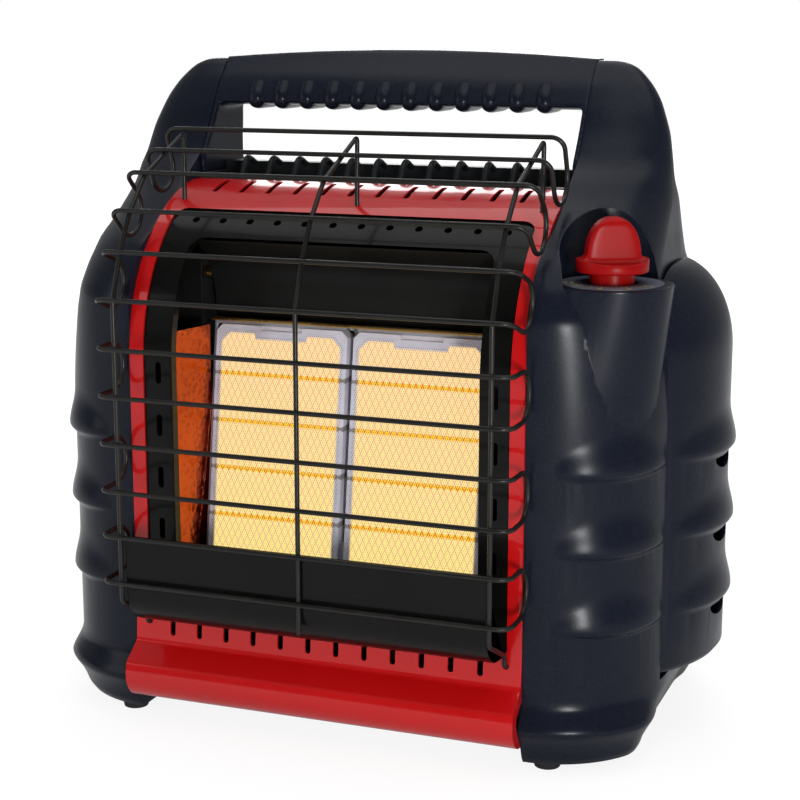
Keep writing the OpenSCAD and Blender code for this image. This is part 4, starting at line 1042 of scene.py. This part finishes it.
class HEATER_OT_doors(bpy.types.Operator):
    """Domed bay doors with ridges, half-moon vents and hinge knuckles"""

    bl_idname = "heater.doors"
    bl_label = "Bay doors"

    def execute(self, context):
        for side in ("left", "right"):
            ob = door_wall(side + "_door_moulding", 0, 3, True)
            keep(ob, block((193, -48.1, 51), (240, 77.6, 303)))
            cut(ob, *[prism("vent", half_moon(z - 6), 0, 200, 240) for z in RIDGES])
            knuckles, leaves = hinge_half(1, (200.6, 204.1), (74.6, 79))
            join(ob, *leaves, *knuckles)
            edged(ob, sizes().moulding_edge * 0.8, 48, 3, 38, level=False)
            placed(mirrored(ob) if side == "left" else ob, side + "_door")
        return {"FINISHED"}


# ---- handle, grille, knob ----------------------------------------------------------


GRIP_GAP = (127.5, 394.0)
# The handle's side outline as (y, z), up its front and down its back
GRIP_SIDE = ((-4, 350), (-6, 360), (9.2, 381), (16.6, 394), (27.4, 411), (39.8, 424), (47, 432),
             (55, 432), (60, 424), (60.5, 411), (59, 394), (57.5, 375), (57.5, 350))


def moulded(ob, voxel, passes):
    """Gives a piece the soft edges of a moulding."""
    grid = ob.modifiers.new("Even mesh", "REMESH")
    grid.mode, grid.voxel_size = "VOXEL", voxel * MM
    soft = ob.modifiers.new("Soft edges", "SMOOTH")
    soft.factor, soft.iterations = 0.5, passes
    return smoothed(baked(ob))


class HEATER_OT_handle(bpy.types.Operator):
    """Arched carrying handle with finger ribs, and the comb of ribs over the hot-air outlet"""

    bl_idname = "heater.handle"
    bl_label = "Handle and top grille"

    def execute(self, context):
        handle = prism("carrying_handle", softened(GRIP_SIDE, 7, 8), 0, -PANEL_X, PANEL_X)
        x = np.linspace(-PANEL_X, PANEL_X, 41)
        crown = np.stack([x, TOWER + 5 * (1 - (x / PANEL_X) ** 2)], 1)[::-1]
        arch = np.vstack([crown, [(-PANEL_X, 340), (PANEL_X, 340)]])
        keep(handle, prism("arch", arch, 1, -30, 110))
        gap = []
        for y in np.concatenate([[-30], np.linspace(14, 64, 26), [110]]):
            top = GRIP_GAP[1] + 5 * min(1, abs(y - 39) / 23) ** 4
            outline = rounded_box(-GRIP_GAP[0], GRIP_GAP[0], 330, top, (1, 1), (4, 4))
            gap.append(np.insert(outline, 1, y, axis=1))
        cut(handle, ring_stack("gap", gap))
        placed(moulded(handle, 1.2, 4), "handle")
        route = softened([(30, 407), (22.5, 398.5), (25, 397.4), (52, 397.4), (57, 400)], 5, 6)
        xs = [(i - (sizes().grip_ribs - 1) / 2) * 18.4 for i in range(sizes().grip_ribs)]
        rolls = [np.insert(route, 0, x, axis=1) for x in xs]
        placed(wires("grip_rolls", rolls, 5.9 * MM, "navy_plastic", 32), "handle")
        route = softened([(3, 342), (11, 356.5), (15, 359.2), (19, 358.6), (29, 354)], 3.5, 6)
        ribs = [np.insert(route, 0, x, axis=1) for x in slot_xs()]
        placed(wires("outlet_ribs", ribs, 2.1 * MM, "black_plastic"), "top_grille")
        rails = block((-PANEL_X, -8.4, 341), (PANEL_X, 3, 347.2))
        join(rails, block((-127, 26, 341), (127, 40, 356.2)), block((127, -8.4, 341), (PANEL_X, 42, 350)),
             block((-PANEL_X, -8.4, 341), (-127, 42, 350)))
        rails.name = "outlet_rails"
        placed(edged(rails, 0.8 * MM, 40, 3), "top_grille")
        return {"FINISHED"}


class HEATER_OT_knob(bpy.types.Operator):
    """Red control knob, its numbered dial, stem and sleeve"""

    bl_idname = "heater.knob"
    bl_label = "Knob and dial"

    def execute(self, context):
        around = np.radians(np.arange(0, 360, 3))
        c, s = np.cos(around), np.sin(around)
        rim = 313 - 2.4 * abs(s) ** 1.6
        foot = np.full_like(around, PLATFORM + 0.4)
        flange = [(foot, 13.0), (foot + 0.3, 13.4), (foot + 7, 13.4), (foot + 7, 20.9), (foot + 7.3, 21.5),
                  (foot + 7.9, 21.75), (rim - 0.8, 21.75), (rim - 0.25, 21.5), (rim, 20.9),
                  (rim - 0.15, 19.8)]
        rings = [np.stack([r * c, r * s, z], 1) for z, r in flange]
        power = 2 / 7
        cross_x, cross_y = np.sign(c) * abs(c) ** power, np.sign(s) * abs(s) ** power
        # the grip, from its fillet on the flange to its crown
        shares = [np.linspace(0, 0.12, 6), np.linspace(0.16, 0.8, 16), np.linspace(0.83, 1, 10)]
        for share in np.concatenate(shares):
            z = rim * (1 - share) + 337.3 * share
            fillet = 2.2 * max(0.0, 1 - share / 0.12) ** 2
            crown = np.clip(1 - ((z - 309) / 28.6) ** 2.6, 0.01, 1) ** 0.5
            half_x = 16.6 * crown + fillet
            half_y = 6.4 - 3.4 * np.clip((z - 331) / 6.3, 0, 1) ** 2.5 + fillet
            rings.append(np.stack([half_x * cross_x, half_y * cross_y, z], 1))
        tc, ts = cos(radians(28)), sin(radians(28))
        x, y, z = np.moveaxis(np.array(rings), 2, 0)
        rings = np.stack([KNOB[0] + x * tc - y * ts, KNOB[1] + x * ts + y * tc, z], 2)
        knob = cut(ring_stack("red_knob", rings), disc(KNOB, 3, 2, 298, 322, 32))
        placed(smoothed(knob, 50), "control_knob")
        dressed("valve_stem", 0.3 * MM)
        dressed("valve_sleeve", 0.3 * MM)
        dial = cut(disc(KNOB, 30.9, 2, PLATFORM + 0.05, PLATFORM + 0.8, 128),
                   disc(KNOB, SLEEVE_HOLE, 2, 290, 300, 96))
        dial.name = "dial_disc"
        placed(edged(dial, 0.25 * MM, 40), "dial_plate", finish="dial_face")
        self.marks()
        return {"FINISHED"}

    def marks(self):
        """Plain ticks and numbers round the dial."""
        marks = None
        for i in range(21):
            a = radians(200 + i * 7)
            long = i % 5 == 0
            r0, r1, w = (22.8, 25.2, 0.45) if long else (23.8, 25.2, 0.3)
            out, side = np.array([cos(a), sin(a)]), np.array([-sin(a), cos(a)])
            corners = [out * r + side * s + KNOB for r, s in ((r0, -w), (r1, -w), (r1, w), (r0, w))]
            tick = prism("dial_marks", corners, 2, PLATFORM + 0.7, PLATFORM + 0.88)
            marks = join(marks, tick) if marks else tick
        placed(marks, "dial_plate", finish="dial_mark")
        for number, angle in enumerate((200, 235, 270, 305, 340)):
            text = bpy.data.curves.new(f"dial_number_{number}", "FONT")
            text.body, text.size, text.extrude = str(number), 4.6 * MM, 0.08 * MM
            text.align_x, text.align_y = "CENTER", "CENTER"
            text.resolution_u = 3
            writing = linked(f"dial_number_{number}_text", text)
            a = radians(angle)
            x, y = KNOB[0] + 28.1 * cos(a), KNOB[1] + 28.1 * sin(a)
            writing.location = [x * MM, y * MM, (PLATFORM + 0.84) * MM]
            writing.rotation_euler.z = a + pi / 2
            bpy.context.view_layer.update()
            graph = bpy.context.evaluated_depsgraph_get()
            mesh = bpy.data.meshes.new_from_object(writing.evaluated_get(graph))
            mesh.transform(writing.matrix_world)
            bpy.data.objects.remove(writing)
            placed(linked(f"dial_number_{number}", mesh), "dial_plate", finish="dial_mark")


# ---- rear, base and fasteners ------------------------------------------------------


class HEATER_OT_rear(bpy.types.Operator):
    """Rear cover, fan, battery box and switch"""

    bl_idname = "heater.rear"
    bl_label = "Rear and fan"

    def execute(self, context):
        dressed("rear_cover", 0.35 * MM, angle=50)
        for node in ("fan_grille", "battery_cover", "battery_box", "fan_switch_frame", "fan_switch_rocker"):
            dressed(node, 0.5 * MM, segments=3)
        for node in ("fan_shroud", "fan_motor", "fan_rotor"):
            dressed(node, 0.35 * MM)
        return {"FINISHED"}


def screw():
    """Pan head with a cross recess, facing +Z."""
    profile = [(0.0001, 2.0), (1.2, 1.95), (2.2, 1.6), (2.8, 0.9), (3.0, 0.0)]
    around = np.radians(np.arange(0, 360, 15))
    c, s = np.cos(around), np.sin(around)
    rings = [np.stack([r * c, r * s, np.full_like(around, z)], 1) for r, z in profile]
    head = ring_stack("screw", rings)
    return cut(head, block((-0.45, -1.9, 0.9), (0.45, 1.9, 3)), block((-1.9, -0.45, 0.9), (1.9, 0.45, 3)))


class HEATER_OT_fasteners(bpy.types.Operator):
    """Cross-head screws that hold the rear cover, and the panel's screws"""

    bl_idname = "heater.fasteners"
    bl_label = "Screws"

    def execute(self, context):
        head = screw()
        points = [(s * (PANEL_X - 5), REAR, z) for s in (-1, 1) for z in TAB_ZS]
        ob = paths("rear_screw_heads", [[p] for p in points])
        grown(ob, repeat_tree(), Piece=head, Turn=(-pi / 2, 0, 0), Material=material_of("bright_steel"))
        bpy.data.objects.remove(head)
        placed(ob, "rear_screws")
        dressed("panel_screws", 0.2 * MM)
        return {"FINISHED"}


class HEATER_OT_base(bpy.types.Operator):
    """Base pan, feet, bay liners, hinges, regulators and the gas fittings inside"""

    bl_idname = "heater.base"
    bl_label = "Base and gas fittings"

    def execute(self, context):
        for node in ("feet", "base_pan", "left_regulator", "right_regulator", "gas_valve"):
            dressed(node, 0.5 * MM, segments=3)
        # whatever node no piece stands for yet
        for node, ob in frame["nodes"].items():
            if not ob.hide_render:
                dressed(node, 0.25 * MM, finish="hood_black" if node.endswith("bay_liner") else None)
        return {"FINISHED"}


# ---- stage -------------------------------------------------------------------------


# Softboxes: name, place, aim, width, height and power
LIGHTS = (
    ("key_light", (0.8, -1.2, 0.24), (0, 0, 0.22), 0.16, 0.26, 10),
    ("fill_light", (-1.5, -1.3, 0.8), (0, 0, 0.2), 1.0, 1.2, 6),
    ("top_light", (0.1, 0.1, 1.9), (0, 0, 0.3), 2.2, 1.6, 15),
    ("back_light", (-0.6, 1.7, 0.9), (0, 0, 0.2), 1.0, 1.0, 12),
)
CAMERA_PLACE, CAMERA_WAY = (0.42598, -1.09887, 0.44947), (-0.34545, 0.91558, -0.2058)
LENS, SENSOR = 81.0, 36.0
FLOOR_HALF = 6


def turned(way):
    """Rotation of a light or camera that looks along a direction."""
    return Vector(way).to_track_quat("-Z", "Y").to_euler()


def softbox(name, place, aim, width, height, power):
    lamp = bpy.data.lights.new(name, "AREA")
    lamp.shape, lamp.size, lamp.size_y, lamp.energy = "RECTANGLE", width, height, power
    ob = linked(name, lamp)
    ob.location = place
    ob.rotation_euler = turned(Vector(aim) - Vector(place))


class HEATER_OT_stage(bpy.types.Operator):
    """Pale floor, studio light and camera"""

    bl_idname = "heater.stage"
    bl_label = "Stage"

    def execute(self, context):
        self.floor()
        self.surroundings()
        for light in LIGHTS:
            softbox(*light)
        self.camera()
        return {"FINISHED"}

    def floor(self):
        h = FLOOR_HALF
        floor = mesh_object("floor", [(-h, -h, 0), (h, -h, 0), (h, h, 0), (-h, h, 0)], faces=[(0, 1, 2, 3)])
        material = bpy.data.materials.new("Pale floor")
        material.use_nodes = True
        n = Nodes(material.node_tree)
        material.node_tree.nodes.clear()
        path = n.add("ShaderNodeLightPath").outputs
        glossy = n.math("MULTIPLY", path["Is Glossy Ray"], 0.25)
        direct = n.math("ADD", path["Is Camera Ray"], glossy)
        seen = n.math("ADD", direct, path["Is Transmission Ray"], clamp=True)
        far = n.add("ShaderNodeVectorMath", {0: n.place()}, operation="LENGTH").outputs["Value"]
        share = n.ramp(far, 0.3, 1.0, 0.72, 1.0)
        matt = n.made("ShaderNodeBsdfDiffuse", {"Color": (0.86, 0.86, 0.86, 1)})
        white = n.made("ShaderNodeEmission", {"Color": (1, 1, 1, 1), "Strength": 1.2})
        mixed = n.made("ShaderNodeMixShader", {0: n.math("MULTIPLY", seen, share), 1: matt, 2: white})
        n.add("ShaderNodeOutputMaterial", {"Surface": mixed})
        floor.data.materials.append(material)

    def surroundings(self):
        world = bpy.data.worlds.new("Studio")
        bpy.context.scene.world = world
        world.use_nodes = True
        world.node_tree.nodes.clear()
        n = Nodes(world.node_tree)
        path = n.add("ShaderNodeLightPath").outputs
        way = n.add("ShaderNodeSeparateXYZ", {0: n.add("ShaderNodeTexCoord").outputs["Generated"]}).outputs
        behind = n.ramp(n.math("ADD", way[1], n.math("MULTIPLY", way[2], 0.5)), -0.7, 0.9, 0.015, 0.35)
        mirror = n.mix(behind, (0.0, 0.0, 0.0), (1.0, 1.0, 1.0))
        soft = n.mix(path["Is Glossy Ray"], (0.3, 0.305, 0.32), mirror)
        seen = n.math("ADD", path["Is Camera Ray"], path["Is Transmission Ray"], clamp=True)
        sky = n.mix(seen, soft, (1.0, 1.0, 1.0))
        light = n.made("ShaderNodeBackground", {"Color": sky, "Strength": 1.0})
        n.add("ShaderNodeOutputWorld", {"Surface": light})

    def camera(self):
        data = bpy.data.cameras.new("camera")
        data.lens, data.sensor_width = LENS, SENSOR
        camera = linked("camera", data)
        camera.location = CAMERA_PLACE
        camera.rotation_euler = turned(CAMERA_WAY)
        bpy.context.scene.camera = camera
        bpy.context.scene.view_settings.view_transform = "Standard"


# ---- add-on ------------------------------------------------------------------------

OPERATORS = (
    HEATER_OT_front_panel, HEATER_OT_bezel, HEATER_OT_hearth, HEATER_OT_burner, HEATER_OT_guard,
    HEATER_OT_housings, HEATER_OT_doors, HEATER_OT_handle, HEATER_OT_knob, HEATER_OT_rear,
    HEATER_OT_fasteners, HEATER_OT_base, HEATER_OT_stage,
)


class HEATER_PT_panel(bpy.types.Panel):
    bl_idname = "HEATER_PT_panel"
    bl_label = "Portable propane heater"
    bl_space_type = "VIEW_3D"
    bl_region_type = "UI"
    bl_category = "Heater"

    def draw(self, context):
        for group in (context.scene.heater_sizes, context.scene.heater_finishes):
            box = self.layout.box()
            for name in group.__annotations__:
                box.prop(group, name)
        for operator in OPERATORS:
            self.layout.operator(operator.bl_idname)


CLASSES = (HeaterSizes, HeaterFinishes, *OPERATORS, HEATER_PT_panel)


def register():
    for cls in CLASSES:
        bpy.utils.register_class(cls)
    bpy.types.Scene.heater_sizes = PointerProperty(type=HeaterSizes)
    bpy.types.Scene.heater_finishes = PointerProperty(type=HeaterFinishes)


def unregister():
    del bpy.types.Scene.heater_finishes
    del bpy.types.Scene.heater_sizes
    for cls in reversed(CLASSES):
        bpy.utils.unregister_class(cls)


def main():
    register()
    for operator in OPERATORS:
        group, name = operator.bl_idname.split(".")
        getattr(getattr(bpy.ops, group), name)()


if __name__ == "__main__":
    main()
